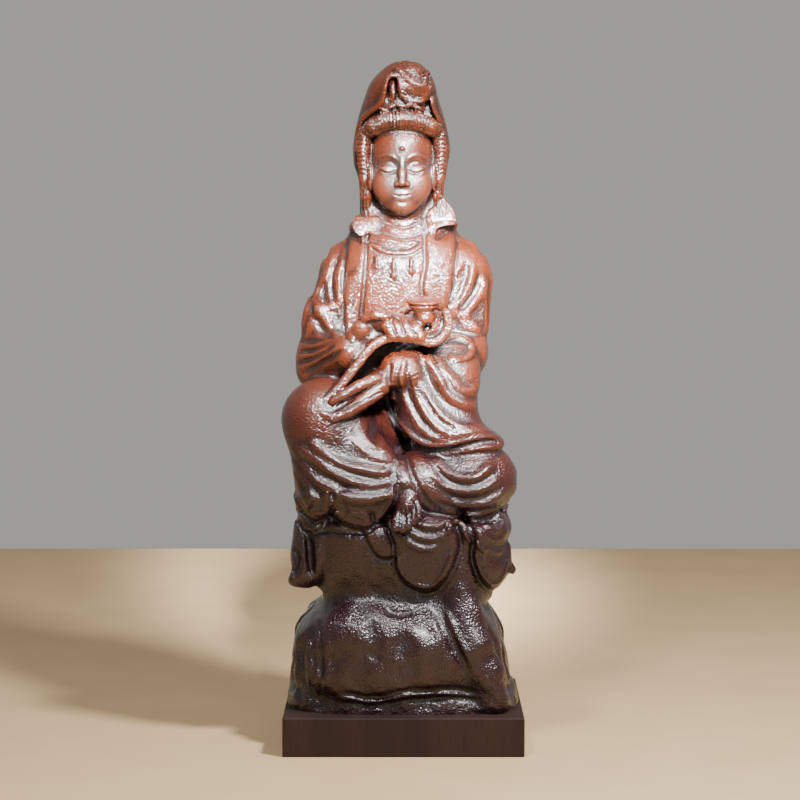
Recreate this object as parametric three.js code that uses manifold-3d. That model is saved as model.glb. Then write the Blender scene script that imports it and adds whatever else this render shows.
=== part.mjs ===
// A carved hardwood figure of Guanyin seated at royal ease on a rock, with a ruyi sceptre in both hands.
// Figure, rock and square plinth are cut from one upright block, so the whole carving is one solid.
// Millimetres, +Z up, the figure faces -Y, origin under the middle of the plinth.
import * as THREE from "three";
import { SimplifyModifier } from "three/addons/modifiers/SimplifyModifier.js";
import { mergeVertices } from "three/addons/utils/BufferGeometryUtils.js";
import Module from "manifold-3d";

// Driving sizes
const HEIGHT = 500;
const PLINTH = { width: 174, depth: 150, height: 28 };
const CELL = 1.9;
const FACETS = 9700;

// The wood is a field that is negative inside; the carving is an ordered list of steps on it,
// each with the box [x, x, y, y, z, z] that it can reach.
const FAR = 60;
const steps = [];

const clamp = (v, low, high) => Math.max(low, Math.min(high, v));
const ease = (t) => t * t * (3 - 2 * t);

function softMin(a, b, k) {
  const h = Math.max(k - Math.abs(a - b), 0) / k;
  return Math.min(a, b) - (h * h * k) / 4;
}

function grown(box, by) {
  return box.map((v, i) => (i % 2 ? v + by : v - by));
}

function boxOf(points, by) {
  const reach = (i, pick) => pick(...points.map((p) => p[i]));
  return grown([0, 1, 2].flatMap((i) => [reach(i, Math.min), reach(i, Math.max)]), by);
}

function add(shape, blend) {
  const near = shape.near;
  steps.push({ box: grown(shape.box, blend + 4), apply: (f, x, y, z) => softMin(f, near(x, y, z), blend) });
}

function cut(shape, blend) {
  const near = shape.near;
  steps.push({ box: grown(shape.box, blend + 4), apply: (f, x, y, z) => -softMin(-f, near(x, y, z), blend) });
}

function field(x, y, z) {
  let f = FAR;
  for (const s of steps) {
    const b = s.box;
    if (x < b[0] || x > b[1] || y < b[2] || y > b[3] || z < b[4] || z > b[5]) continue;
    f = s.apply(f, x, y, z);
  }
  return f;
}

// An ellipsoid, turned by degrees about x, then y, then z.
function egg([cx, cy, cz], [rx, ry, rz], [ax, ay, az] = [0, 0, 0]) {
  const rad = Math.PI / 180;
  const m = new THREE.Matrix4()
    .makeRotationFromEuler(new THREE.Euler(ax * rad, ay * rad, az * rad, "ZYX"))
    .transpose().elements;
  const reach = Math.max(rx, ry, rz);
  const r = ax || ay || az ? [reach, reach, reach] : [rx, ry, rz];
  return {
    box: [cx - r[0], cx + r[0], cy - r[1], cy + r[1], cz - r[2], cz + r[2]],
    near(x, y, z) {
      const dx = x - cx;
      const dy = y - cy;
      const dz = z - cz;
      const u = (m[0] * dx + m[4] * dy + m[8] * dz) / rx;
      const v = (m[1] * dx + m[5] * dy + m[9] * dz) / ry;
      const w = (m[2] * dx + m[6] * dy + m[10] * dz) / rz;
      const k0 = Math.sqrt(u * u + v * v + w * w);
      const k1 = Math.sqrt((u / rx) ** 2 + (v / ry) ** 2 + (w / rz) ** 2);
      return k1 < 1e-9 ? -Math.min(rx, ry, rz) : (k0 * (k0 - 1)) / k1;
    },
  };
}

// A round limb from a to b whose radius runs from ra to rb.
function limb(a, b, ra, rb = ra) {
  const [ax, ay, az] = a;
  const d = b.map((v, i) => v - a[i]);
  const length2 = d[0] ** 2 + d[1] ** 2 + d[2] ** 2;
  return {
    box: boxOf([a, b], Math.max(ra, rb)),
    near(x, y, z) {
      const px = x - ax;
      const py = y - ay;
      const pz = z - az;
      const t = clamp((px * d[0] + py * d[1] + pz * d[2]) / length2, 0, 1);
      const gap = Math.hypot(px - t * d[0], py - t * d[1], pz - t * d[2]);
      return gap - (ra + t * (rb - ra));
    },
  };
}

// A chain of limbs through the points, each point given as [x, y, z, radius].
function chain(points, blend) {
  for (let i = 0; i + 1 < points.length; i++) {
    const [a, b] = [points[i], points[i + 1]];
    add(limb(a.slice(0, 3), b.slice(0, 3), a[3], b[3]), blend);
  }
}

// A column whose left, right, front and back sides are given at each level, rounded to a superellipse.
function column(levels, power) {
  const low = levels[0][0];
  const high = levels.at(-1)[0];
  const last = levels.length - 1;
  const slope = (i, k) => {
    const [p, q] = [levels[Math.max(i - 1, 0)], levels[Math.min(i + 1, last)]];
    return (q[k] - p[k]) / (q[0] - p[0]);
  };
  const sides = (z) => {
    let i = 0;
    while (i < last - 1 && z > levels[i + 1][0]) i++;
    const [a, b] = [levels[i], levels[i + 1]];
    const rise = b[0] - a[0];
    const t = clamp((z - a[0]) / rise, 0, 1);
    const h = ease(t);
    const bend = (k) => rise * t * (1 - t) * ((1 - t) * slope(i, k) - t * slope(i + 1, k));
    return [1, 2, 3, 4].map((k) => a[k] + h * (b[k] - a[k]) + bend(k));
  };
  const of = (k, pick) => pick(...levels.map((l) => l[k]));
  return {
    box: [of(1, Math.min), of(2, Math.max), of(3, Math.min), of(4, Math.max), low, high],
    near(x, y, z) {
      const [left, right, front, back] = sides(z);
      const hx = (right - left) / 2;
      const hy = (back - front) / 2;
      const u = Math.abs(x - (left + right) / 2) / hx;
      const v = Math.abs(y - (front + back) / 2) / hy;
      const q = (u ** power + v ** power) ** (1 / power) + 1e-9;
      const steep = Math.hypot((u / q) ** (power - 1) / hx, (v / q) ** (power - 1) / hy);
      const side = (q - 1) / Math.max(steep, 1e-6);
      return Math.max(side, low - z, z - high);
    },
  };
}

// A bar bent in the x-z plane along the points [x, z], of even thickness, wide in y between two limits.
function strap(line, thickness, [front, back]) {
  const half = thickness / 2;
  return {
    box: boxOf(line.flatMap(([x, z]) => [[x, front, z], [x, back, z]]), half),
    near(x, y, z) {
      const side = gapTo(line, x, z) - half;
      const end = Math.max(front - y, y - back);
      const round = 2;
      const [s, e] = [side + round, end + round];
      return Math.min(Math.max(s, e), 0) + Math.hypot(Math.max(s, 0), Math.max(e, 0)) - round;
    },
  };
}

// Distance from a point to a line of points in a plane.
function gapTo(line, a, b) {
  let least = 1e9;
  for (let i = 0; i + 1 < line.length; i++) {
    const [p, q] = [line[i], line[i + 1]];
    const [da, db] = [q[0] - p[0], q[1] - p[1]];
    const t = clamp(((a - p[0]) * da + (b - p[1]) * db) / (da * da + db * db), 0, 1);
    least = Math.min(least, Math.hypot(a - p[0] - t * da, b - p[1] - t * db));
  }
  return least;
}

// Folds and hems are drawn on an upright plane (front, back or side) as [across, height] and are
// carried onto the wood along straight lines from a distant point in front of that plane.
const FRONT = { from: [0, -1786, 395], axis: 1, plane: -48 };
const BACK = { from: [0, 1786, 395], axis: 1, plane: 48 };
const HER_LEFT = { from: [1786, 0, 395], axis: 0, plane: 60 };
const HER_RIGHT = { from: [-1786, 0, 395], axis: 0, plane: -60 };

function sight(view, a, z) {
  const p = view.axis ? [a, view.plane, z] : [view.plane, a, z];
  const d = p.map((v, i) => v - view.from[i]);
  const length = Math.hypot(...d);
  return { p, d: d.map((v) => v / length) };
}

function onWood(view, a, z) {
  const { p, d } = sight(view, a, z);
  const at = (t) => p.map((v, i) => v + t * d[i]);
  let t = -50;
  while (t < 62 && field(...at(t)) > 0) t += 2;
  if (t >= 62) return null;
  let [out, inside] = [t - 2, t];
  for (let i = 0; i < 7; i++) {
    const mid = (out + inside) / 2;
    if (field(...at(mid)) > 0) out = mid;
    else inside = mid;
  }
  return at(inside);
}

function smoothLine(line, spacing, closed = false) {
  const curve = new THREE.CatmullRomCurve3(line.map(([a, z]) => new THREE.Vector3(a, 0, z)), closed);
  return curve.getSpacedPoints(Math.max(3, Math.ceil(curve.getLength() / spacing))).map((p) => [p.x, p.z]);
}

// A ridge (height above zero) or a groove (below zero) along a line, half as wide as its width,
// running out to nothing at both ends.
function press(view, line, width, height, fade = 0.25) {
  const spots = smoothLine(line, 3).map(([a, z]) => onWood(view, a, z)).filter((p) => p);
  if (spots.length < 2) return;
  const n = spots.length - 1;
  const strength = spots.map((_, i) => height * ease(clamp(Math.min(i, n - i) / n / fade + 0.15, 0, 1)));
  const { d } = sight(view, ...line[0]);
  const half = width / 2;
  steps.push({
    box: boxOf(spots, half * 1.6),
    apply(f, x, y, z) {
      if (f > 10 || f < -10) return f;
      let least = 1e9;
      let push = 0;
      for (let i = 0; i < n; i++) {
        const [p, q] = [spots[i], spots[i + 1]];
        const [ex, ey, ez] = [q[0] - p[0], q[1] - p[1], q[2] - p[2]];
        const length2 = ex * ex + ey * ey + ez * ez + 1e-9;
        const t = clamp(((x - p[0]) * ex + (y - p[1]) * ey + (z - p[2]) * ez) / length2, 0, 1);
        const [gx, gy, gz] = [x - p[0] - t * ex, y - p[1] - t * ey, z - p[2] - t * ez];
        const deep = gx * d[0] + gy * d[1] + gz * d[2];
        const gap = gx * gx + gy * gy + gz * gz - 0.85 * deep * deep;
        if (gap < least) {
          least = gap;
          push = strength[i] + t * (strength[i + 1] - strength[i]);
        }
      }
      const r = least / (half * half);
      return r < 1 ? f - push * (1 - r) : f;
    },
  });
}

// Several ridges in step from a first line to a last one.
function folds(view, first, last, count, width, height) {
  const [a, b] = [first, last].map((line) => {
    const curve = new THREE.CatmullRomCurve3(line.map(([p, z]) => new THREE.Vector3(p, 0, z)));
    return curve.getSpacedPoints(6);
  });
  for (let i = 0; i < count; i++) {
    const t = count > 1 ? i / (count - 1) : 0.5;
    const between = a.map((p, k) => [p.x + t * (b[k].x - p.x), p.z + t * (b[k].z - p.z)]);
    press(view, between, width, height);
  }
}

// A lap of cloth inside an outline: raised by its thickness, with a cut under its hem, and
// running out at its top.
function lap(view, outline, rise, depth = [-90, 30], dig = rise * 0.6) {
  const line = smoothLine(outline, 4, true);
  const top = Math.max(...line.map((p) => p[1]));
  const far = view.from[view.axis];
  const a0 = Math.min(...line.map((p) => p[0])) - 6;
  const a1 = Math.max(...line.map((p) => p[0])) + 6;
  const z0 = Math.min(...line.map((p) => p[1])) - 8;
  const across = [a0 - 3, a1 + 3];
  const box = [...(view.axis ? [...across, ...depth] : [...depth, ...across]), z0 - 6, top + 6];
  steps.push({
    box,
    apply(f, x, y, z) {
      if (f > 10 || f < -10) return f;
      const k = (view.plane - far) / ((view.axis ? y : x) - far);
      const a = (view.axis ? x : y) * k;
      const b = view.from[2] + (z - view.from[2]) * k;
      if (a < a0 || a > a1 || b < z0 || b > top) return f;
      let inside = false;
      for (let i = 0; i < line.length; i++) {
        const [p, q] = [line[i], line.at(i - 1)];
        const between = p[1] > b !== q[1] > b;
        if (between && a < ((q[0] - p[0]) * (b - p[1])) / (q[1] - p[1]) + p[0]) inside = !inside;
      }
      const gap = gapTo(line, a, b) * (inside ? -1 : 1);
      const raised = rise * ease(clamp((1.5 - gap) / 3, 0, 1));
      const groove = dig * Math.max(0, 1 - ((gap - 3) / 3) ** 2);
      return f - (raised - groove) * ease(clamp((top - b) / 9, 0, 1));
    },
  });
}

// Rock: levels are [height, left, right, front, back].
add(column([
  [14, -86, 86, -62, 71],
  [31, -86, 85, -62, 70],
  [42, -84.5, 81.5, -60, 70],
  [56, -83, 77.5, -65, 69],
  [70, -81, 74, -67, 68],
  [82, -79, 71, -66, 66],
  [94, -70, 66, -61, 61],
  [103, -61, 62, -54, 57],
  [110, -60, 67, -50, 56],
  [118, -64, 71, -50, 57],
  [130, -70, 74, -54, 62],
  [148, -73, 72, -57, 65],
  [160, -74, 76, -58, 63],
  [168, -68, 73, -54, 58],
], 3.6), 1);
add(limb([73, -22, 142], [79.5, -24, 127], 5, 2.4), 3);
// the boulders bulging forward low on the front, and the buttress running down to the right of them
add(egg([-30, -50, 86], [32, 20, 18], [24, 0, 0]), 12);
add(egg([4, -50, 70], [36, 19, 26], [14, 0, 0]), 12);
add(egg([-18, -53, 54], [46, 15, 18]), 10);
chain([[38, -40, 126, 11], [45, -46, 98, 11], [51, -51, 76, 12], [60, -54, 56, 12], [66, -54, 36, 11]], 9);
add(egg([-34, 50, 74], [42, 20, 28], [0, 12, 0]), 10);
add(egg([36, 50, 60], [38, 19, 32], [0, -14, 0]), 10);
add(egg([58, 22, 70], [16, 36, 22], [14, 0, 0]), 8);
add(egg([-62, 24, 58], [19, 38, 30], [-12, 0, 0]), 8);
cut(limb([31, -74, 102], [42, -80, 64], 3, 4), 8);
cut(limb([69, -50, 108], [74, -52, 78], 4, 4), 6);

// Seat and legs: the flat left leg on the viewer's right, the raised right knee on the viewer's left.
add(egg([0, 22, 190], [74, 40, 36]), 8);
add(egg([0, -14, 184], [60, 40, 26]), 8);
add(egg([52, -34, 197], [30.5, 31, 27]), 6);
add(egg([20, -36, 196], [34, 27, 24], [0, 0, 10]), 8);
add(egg([22, -46, 170], [22, 13, 8]), 5);
const KNEE = [-58.5, -38, 240];
add(limb([-18, 12, 206], KNEE, 34, 28), 8);
add(limb(KNEE, [-4, -54, 194], 27, 13), 7);
add(limb(KNEE, [-56, -40, 194], 27, 23), 8);
add(egg([-36, -46, 196], [36, 22, 26], [0, 22, 0]), 8);
// cloth over the rock's shoulder below the right knee
add(limb([-63, -30, 188], [-66, -28, 140], 11, 13.5), 8);
add(limb([-67, -32, 142], [-71, -34, 126], 10, 7), 6);
chain([[-68, -36, 134, 6], [-77.5, -38, 122.5, 3.6]], 4);

// Trunk and chest
add(column([
  [178, -70, 66, -20, 60],
  [196, -70, 65, -20, 60],
  [216, -65, 58, -16, 58],
  [240, -62, 54, -14, 56],
  [270, -60, 53, -17, 53],
  [300, -60, 54, -22, 51],
  [330, -58, 54, -27, 49],
  [350, -52, 50, -27, 47],
  [364, -44, 44, -22, 44],
  [374, -32, 33, -16, 40],
  [386, -20, 20, -10, 32],
], 2.3), 10);

// Shoulders and upper arms in their sleeves
add(limb([-16, 12, 362], [-42.5, 8, 343], 16.5, 18.5), 9);
add(limb([16, 12, 363], [42, 8, 345], 16.5, 19), 9);
add(limb([-43, 7, 343], [-51, 0, 312], 18.5, 20), 8);
add(limb([-51, 0, 312], [-54, 0, 292], 20, 21.5), 8);
add(limb([44, 7, 345], [43, 0, 290], 19.5, 17.5), 8);
add(egg([-64, -6, 272], [14, 18, 13]), 8);
// Her right forearm reaches in to the sceptre's neck
add(limb([-58, -4, 282], [-38, -42, 290], 21, 14), 7);
// Her left forearm crosses the lap, and its wide sleeve hangs over the thigh
add(limb([43, -8, 286], [-4, -48, 277], 19, 13), 7);
add(column([
  [214, 16, 62, -52, -14],
  [221, 6, 73, -60, -8],
  [227, 1, 71, -61, -5],
  [235, -2, 60, -60, -4],
  [244, -4, 55, -58, -2],
  [256, -8, 54, -55, 2],
  [268, -13, 56, -53, 6],
  [280, -15, 56, -48, 10],
  [293, 0, 54, -36, 12],
], 2.6), 5);
// the dark hollow of the lap between hand, sleeve and knee
cut(egg([-14, -62, 246], [8, 26, 19], [0, 24, 0]), 7);

// Hood: a tall shell that frames the face and falls to the shoulders
add(column([
  [322, -44, 42, 14, 46],
  [346, -50, 48, 10, 47],
  [362, -44, 44, 4, 46],
  [374, -38, 38, 0, 45],
  [384, -33, 33, -2, 44],
  [392, -32.5, 31.5, -5, 43.5],
  [402, -32.5, 29, -7, 43],
  [414, -33.5, 30.5, -9, 43],
  [425, -36.5, 32.8, -11, 43],
  [436, -37.6, 34.6, -13, 42.5],
  [448, -36, 33, -15, 41],
  [460, -33.3, 30, -20, 38],
  [473, -29, 25.6, -25, 33],
  [484, -24.5, 22.8, -27, 27],
  [492, -17.5, 18.5, -25, 19],
  [497, -11, 13.5, -21, 11],
  [500, -3, 9, -14, 2],
], 2.2), 5);
// the veil's ends lie on the shoulders
for (const s of [-1, 1]) add(egg([s * 25, 0.5, 383], [11, 9.5, 13], [0, s * -16, 0]), 8);
cut(egg([-0.5, -36, 423], [29, 32, 41]), 2.5);

// Neck and head
chain([[0, 6, 362, 22], [0, 4, 396, 15]], 6);
add(egg([-1, -1, 424], [22.6, 30, 34]), 2);
add(egg([-1, -6, 438], [20, 24, 19]), 6);
add(egg([-1, -10, 408], [18.8, 20.5, 20], [8, 0, 0]), 8);
add(egg([-1, -21, 396], [8.5, 10, 8.5]), 8);
for (const s of [-1, 1]) add(egg([s * 11 - 1, -20, 411], [9.5, 10, 11]), 6);
// hair: rolled back from the brow, gathered under the hood, with locks over the ears
const ROLL = [[0, -24.5, 456.5, 6.8], [11, -22, 454.5, 6.6], [21, -14, 448.5, 6.2], [26, -4, 439, 5.5]];
for (const s of [-1, 1]) chain(ROLL.map(([x, ...rest]) => [s * x - 1, ...rest]), 1.5);
add(egg([-1, -12, 463], [19, 13, 11]), 3);
for (const s of [-1, 1]) {
  const x = s * 26 - 1;
  chain([[x, -6, 440, 5.5], [x + s * 2, -5, 428, 5.2], [x + s * 1.5, -4, 414, 4.6]], 2);
  add(egg([x - s * 1.5, -8, 412], [3, 5.5, 12], [6, 0, 0]), 1.5);
  chain([[x, -3, 406, 3.8], [x + s * 0.5, 0, 390, 4], [x + s * 3, 5, 376, 5]], 5);
}
// brows, closed lids, nose, lips
for (const s of [-1, 1]) {
  const x = s * 9.6 - 1;
  cut(egg([x, -34.5, 421.5], [8.4, 6.5, 5.6], [0, s * 8, 0]), 4);
  add(egg([x, -24.6, 421], [6.6, 4.6, 4.4], [0, s * 6, 0]), 1);
  chain([[s * 3 - 1, -30, 425, 1.3], [s * 9 - 1, -29, 429, 1.3], [s * 16 - 1, -24.5, 427, 1.2]], 3);
}
chain([[-1, -29.5, 427, 2.2], [-1, -33.2, 417, 2.6], [-1, -35.4, 410.8, 3.3]], 3);
for (const s of [-1, 1]) add(egg([s * 3.8 - 1, -32, 409.8], [2.5, 3, 2.3]), 1.6);
add(egg([-1, -31.6, 402.2], [6.8, 3.6, 1.9]), 1.6);
add(egg([-1, -31, 398.6], [5, 3.6, 2.1]), 1.4);
add(egg([-1, -29.6, 435.5], [1.7, 1.6, 1.7]), 0.5);

// The hood's front: a lappet that hangs over the hair between two curls, and a leafy jewel under it
add(egg([8, -27, 480], [13.5, 7, 13], [-20, 0, -6]), 2.5);
chain([[-6, -28, 478, 3], [-10, -27, 486, 3.2], [-4, -25, 491, 3], [2, -28, 486, 2.4]], 1.5);
chain([[22, -24, 474, 2.6], [22, -22, 484, 3], [17, -23, 491, 3], [13, -27, 487, 2.2]], 1.5);
for (const [x, z, a] of [[-12, 463, 30], [-5, 466, -25], [3, 466, 25], [10, 464, -30]]) {
  add(egg([x, -30 + Math.abs(x) * 0.25, z], [5, 3, 2.4], [0, a, 0]), 1);
}

// Sceptre: a bent strap that rises round its mushroom head at one end and tapers to a scroll at the other
const STRAP = [[31, 322], [33, 310], [27, 299], [14, 297], [-4, 300], [-16, 298], [-25, 290], [-34, 280],
  [-45, 266], [-53, 257]];
add(strap(smoothLine(STRAP, 6), 6.5, [-61, -38]), 2);
add(egg([14, -34, 308], [20, 14, 14]), 5);
chain([[16, -52, 323, 5], [17, -51, 317, 7], [18, -49, 309, 3.4], [18, -48, 302, 3.4]], 1.5);
add(egg([16, -51, 325], [12, 10.5, 2.8], [6, 0, 0]), 1);
chain([[-53, -60, 262, 3.6], [-57, -60, 258, 3.4], [-54, -61, 253, 3.2]], 1);
// Her right hand closes over the strap from above
add(egg([-19, -47, 309], [13, 11, 8], [0, 8, 0]), 4);
for (let i = 0; i < 4; i++) {
  const [y, z] = [-50 - i * 3.4, 316 - i * 3.7];
  chain([[-16, y, z, 3.8], [-6, y - 1.5, z + 0.5, 3.6], [6 - i, y, z - 3, 3]], 0.8);
}
chain([[-29, -50, 308, 4], [-20, -59, 302, 3.4]], 1.5);
cut(egg([-24, -60, 307], [6, 7, 3.4], [0, 14, 0]), 1.5);
// Her left hand comes out of its cuff with the palm up under the strap's tail
add(limb([-10, -50, 272], [-34, -58, 262], 10, 9.5), 4);
for (let i = 0; i < 4; i++) {
  const [y, z] = [-58 - i * 1.5, 266 - i * 4.6];
  chain([[-30, y, z, 4.4], [-44, y - 2, z - 7, 4], [-56 + i * 2, y - 1, z - 13 + i, 3.2]], 1);
}

// Foot of the raised leg, under the hem in the middle
add(egg([0, -60, 185], [8, 12, 13], [0, 10, 0]), 2);
for (let i = 0; i < 5; i++) {
  const [x, low] = [-6.5 + i * 3.2, 168 + Math.abs(i - 1) * 1.3];
  chain([[x + 3 - i * 0.6, -68, 182, 2.5], [x + 1, -71, low + 5, 2.5], [x, -70.5, low, 2.2]], 0.5);
}

// Robe: the collar bands that run down over the chest, the necklace and the rings of the neck
const CHEST = [-60, 10];
const RIGHT_BAND = [[-28, 378], [-29, 351], [-33, 310], [-37, 294], [-44, 296], [-42, 331], [-38, 380]];
lap(FRONT, RIGHT_BAND, 2.6, CHEST);
lap(FRONT, [[18, 380], [16, 350], [15, 328], [27, 318], [33, 342], [35, 380]], 2.6, CHEST);
lap(FRONT, [[-26, 402], [-36, 396], [-37, 377], [-28, 373], [-19, 376], [-21, 388]], 3, CHEST);
lap(FRONT, [[26, 402], [34, 396], [38, 384], [34, 377], [25, 375], [17, 366], [19, 388]], 3, CHEST);
for (const [z, w] of [[379, 12], [373, 16]]) {
  press(FRONT, [[-w - 1, z + 3], [0, z - 1], [w - 1, z + 3]], 5, 1.4);
}
press(FRONT, [[-24, 368], [-14, 362], [-4, 360], [6, 362], [15, 368]], 4.5, 1.8, 0.1);
for (const [x, z, drop] of [[-18, 362, 10], [-6, 359, 14], [6, 361, 12]]) {
  press(FRONT, [[x, z], [x, z - drop]], 4, 1.6);
}

// Her right sleeve: folds falling from the shoulder and gathering at the elbow, then fanning to the cuff
folds(FRONT, [[-54, 366], [-64, 342], [-66, 318], [-52, 299]],
  [[-42, 372], [-48, 346], [-48, 320], [-44, 300]], 3, 9, 3.6);
folds(FRONT, [[-76, 294], [-60, 298], [-40, 299]], [[-76, 268], [-60, 273], [-42, 281]], 3, 9, 3.6);
press(FRONT, [[-74, 303], [-58, 302], [-42, 304]], 5, -3);
lap(FRONT, [[-45, 304], [-31, 302], [-32, 286], [-36, 270], [-44, 272]], 2.2, [-70, -10]);

// Her left sleeve: upper folds, the crease and roll at the elbow, and the deep curves over the lap
folds(FRONT, [[43, 364], [43, 342], [32, 314]], [[59, 352], [60, 330], [44, 310]], 3, 8.5, 3.4);
press(FRONT, [[31, 309], [42, 304], [62, 303]], 6, -3.4);
press(FRONT, [[28, 298], [37, 302], [47, 298], [50, 291], [42, 285], [32, 286]], 8, 4);
folds(FRONT, [[22, 292], [30, 278], [39, 264], [51, 260], [60, 268]],
  [[2, 284], [8, 258], [20, 238], [36, 230], [60, 232]], 4, 10.5, 4.8);
press(FRONT, [[-10, 274], [-5, 250], [3, 234], [14, 225], [28, 222], [44, 224], [72, 229]], 6, 3, 0.1);
press(FRONT, [[-15, 264], [-10, 246], [-1, 229], [11, 218], [27, 215], [42, 216], [72, 221]], 6, -4, 0.1);

// Raised leg: folds that swing from below the knee to the foot, and the rolled hem under them
folds(FRONT, [[-82, 232], [-68, 221], [-49, 210], [-30, 204], [-6, 204]],
  [[-79, 206], [-64, 190], [-47, 180], [-28, 176], [-9, 186]], 4, 10, 4.8);
folds(FRONT, [[-80, 212], [-74, 196], [-71, 178]], [[-70, 204], [-62, 188], [-57, 176]], 2, 8.5, 3.2);
const FOREPART = [-90, -20];
const HEM = [[-57, 196], [-51, 172], [-41, 165], [-30, 162], [-19, 166], [-11, 176], [-28, 196]];
lap(FRONT, HEM, 3.4, FOREPART);
lap(FRONT, [[-78, 196], [-72, 176], [-64, 168], [-56, 172], [-52, 184], [-62, 200]], 3, FOREPART);
press(FRONT, [[-46, 186], [-40, 176], [-44, 166]], 7, 3.4);

// Left leg: rings of folds round the knee, opening towards the foot
folds(FRONT, [[21, 213], [29, 203], [42, 198], [56, 200], [68, 212]],
  [[8, 214], [16, 194], [30, 180], [48, 174], [64, 176], [79, 190]], 4, 9, 4.6);
folds(FRONT, [[-1, 220], [5, 202], [18, 184]], [[-8, 212], [-1, 198], [9, 182]], 2, 7.5, 3.4);
press(FRONT, [[12, 175], [26, 169], [42, 166], [58, 165], [72, 170], [82, 182]], 7, -4.4);

// Cloth over the front of the rock: the sash end, the wide swag, the hooked fold and the right drape
lap(FRONT, [[-30, 168], [-27, 152], [-19, 141], [-6, 142], [-9, 155], [-14, 168]], 3.4, FOREPART);
const SWAG = [[-13, 169], [-11, 151], [-7, 134], [4, 121], [15, 116], [26, 120], [35, 135], [38, 150],
  [30, 172]];
lap(FRONT, SWAG, 4.4, FOREPART);
folds(FRONT, [[4, 168], [13, 162], [22, 162], [30, 168]],
  [[-2, 160], [9, 149], [22, 146], [32, 155]], 3, 6.5, 3.4);
const DRAPE = [[38, 176], [43, 158], [52, 146], [54, 130], [63, 118], [70, 118], [78, 132], [81, 176]];
lap(FRONT, DRAPE, 4, FOREPART);
press(FRONT, [[32, 168], [39, 166], [46, 160], [51, 150], [58, 147]], 7, 4.4);
folds(FRONT, [[52, 168], [60, 159], [68, 159], [75, 170]],
  [[56, 156], [63, 142], [70, 140], [78, 152]], 3, 6.5, 3.4);
// and hanging at the left corner
const CORNER = [[-50, 180], [-52, 150], [-46, 122], [-32, 112], [-14, 120], [2, 113], [16, 130], [22, 180]];
lap(HER_RIGHT, CORNER, 3, [-96, -50]);
press(FRONT, [[-77, 172], [-73, 150], [-73, 122]], 8, 3.6);
press(FRONT, [[-67, 168], [-66, 140], [-66, 118]], 7, -3.4);
press(FRONT, [[-60, 156], [-48, 160], [-36, 160]], 7, 3);
press(FRONT, [[77, 136], [80, 127], [82, 119]], 7, 4, 0.5);

// Rock: worn ledges, ribs, clefts and the rolling groove along its foot
for (const x of [-77, -69, -61]) press(FRONT, [[x, 80], [x + 1, 58], [x - 1, 38]], 7.5, 3);
press(FRONT, [[-50, 40], [-30, 36], [-8, 41], [14, 36], [36, 40], [56, 36]], 8, -3.4);
press(FRONT, [[-52, 97], [-30, 104], [-6, 98], [14, 102]], 9, 2.6);
press(FRONT, [[40, 104], [46, 84], [54, 60]], 7, -3.4);
const CLEFTS = [[-52, 92, 40, 6], [-22, 84, 34, -7], [4, 96, 52, 5], [30, 78, 32, 6], [56, 90, 44, -5]];
for (const view of [BACK, HER_LEFT, HER_RIGHT]) {
  for (const [a, high, low, lean] of CLEFTS) {
    press(view, [[a, high], [a + lean, (high + low) / 2], [a, low]], 11, -4);
  }
  press(view, [[-50, 42], [-20, 37], [8, 43], [30, 38], [52, 41]], 9, -3);
}

// Back and sides: the veil's point between the shoulders, long folds of the robe, and its hem over the rock
const VEIL = [[-48, 378], [-52, 340], [-38, 300], [-18, 268], [18, 268], [38, 300], [52, 340], [48, 378]];
lap(BACK, VEIL, 3, [0, 90]);
folds(BACK, [[-36, 366], [-30, 322], [-12, 276]], [[36, 366], [30, 322], [12, 276]], 5, 12, 3.4);
folds(BACK, [[-56, 254], [-24, 230], [0, 224], [24, 230], [54, 254]],
  [[-70, 206], [-34, 184], [0, 176], [34, 184], [68, 206]], 4, 13, 3.8);
const TRAIN = [[-70, 178], [-64, 140], [-44, 128], [-24, 142], [-4, 120], [18, 114], [36, 136], [58, 126],
  [70, 178]];
lap(BACK, TRAIN, 4, [10, 90]);
folds(BACK, [[-12, 168], [4, 156], [24, 154], [38, 166]],
  [[-16, 148], [4, 132], [24, 128], [38, 146]], 3, 10, 3.4);
folds(BACK, [[-58, 166], [-48, 154], [-34, 154]], [[-56, 150], [-46, 139], [-32, 144]], 2, 10, 3);
folds(HER_LEFT, [[-24, 350], [-18, 320], [-12, 296]], [[18, 350], [16, 320], [6, 296]], 4, 9, 3);
folds(HER_RIGHT, [[-24, 350], [-18, 320], [-12, 296]], [[18, 350], [16, 320], [6, 296]], 4, 9, 3);
lap(HER_LEFT, [[-20, 178], [-12, 150], [4, 128], [20, 122], [36, 138], [50, 128], [60, 178]], 3.6, [30, 96]);
for (const view of [HER_LEFT, HER_RIGHT]) {
  folds(view, [[-30, 216], [-6, 204], [22, 214], [40, 236]],
    [[-40, 190], [-8, 172], [28, 176], [52, 200]], 3, 12, 3.6);
}
press(HER_LEFT, [[-40, 120], [-20, 112], [10, 118], [40, 108]], 10, -3);
press(BACK, [[-50, 112], [-20, 106], [16, 110], [50, 104]], 10, -3);

// Nothing stands out beyond the sides of the block that the plinth shows
steps.push({
  box: [-200, 200, -200, 200, -200, 600],
  apply: (f, x, y) => Math.max(f, Math.abs(x) - PLINTH.width / 2 + 0.3, Math.abs(y) - PLINTH.depth / 2 + 0.3),
});

// The skin of the wood by marching tetrahedra: each grid cube is six tetrahedra about its long diagonal.
const AXES = [[1, 2], [2, 4], [4, 1], [1, 4], [4, 2], [2, 1]];
const BLOCK = 4;

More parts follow.
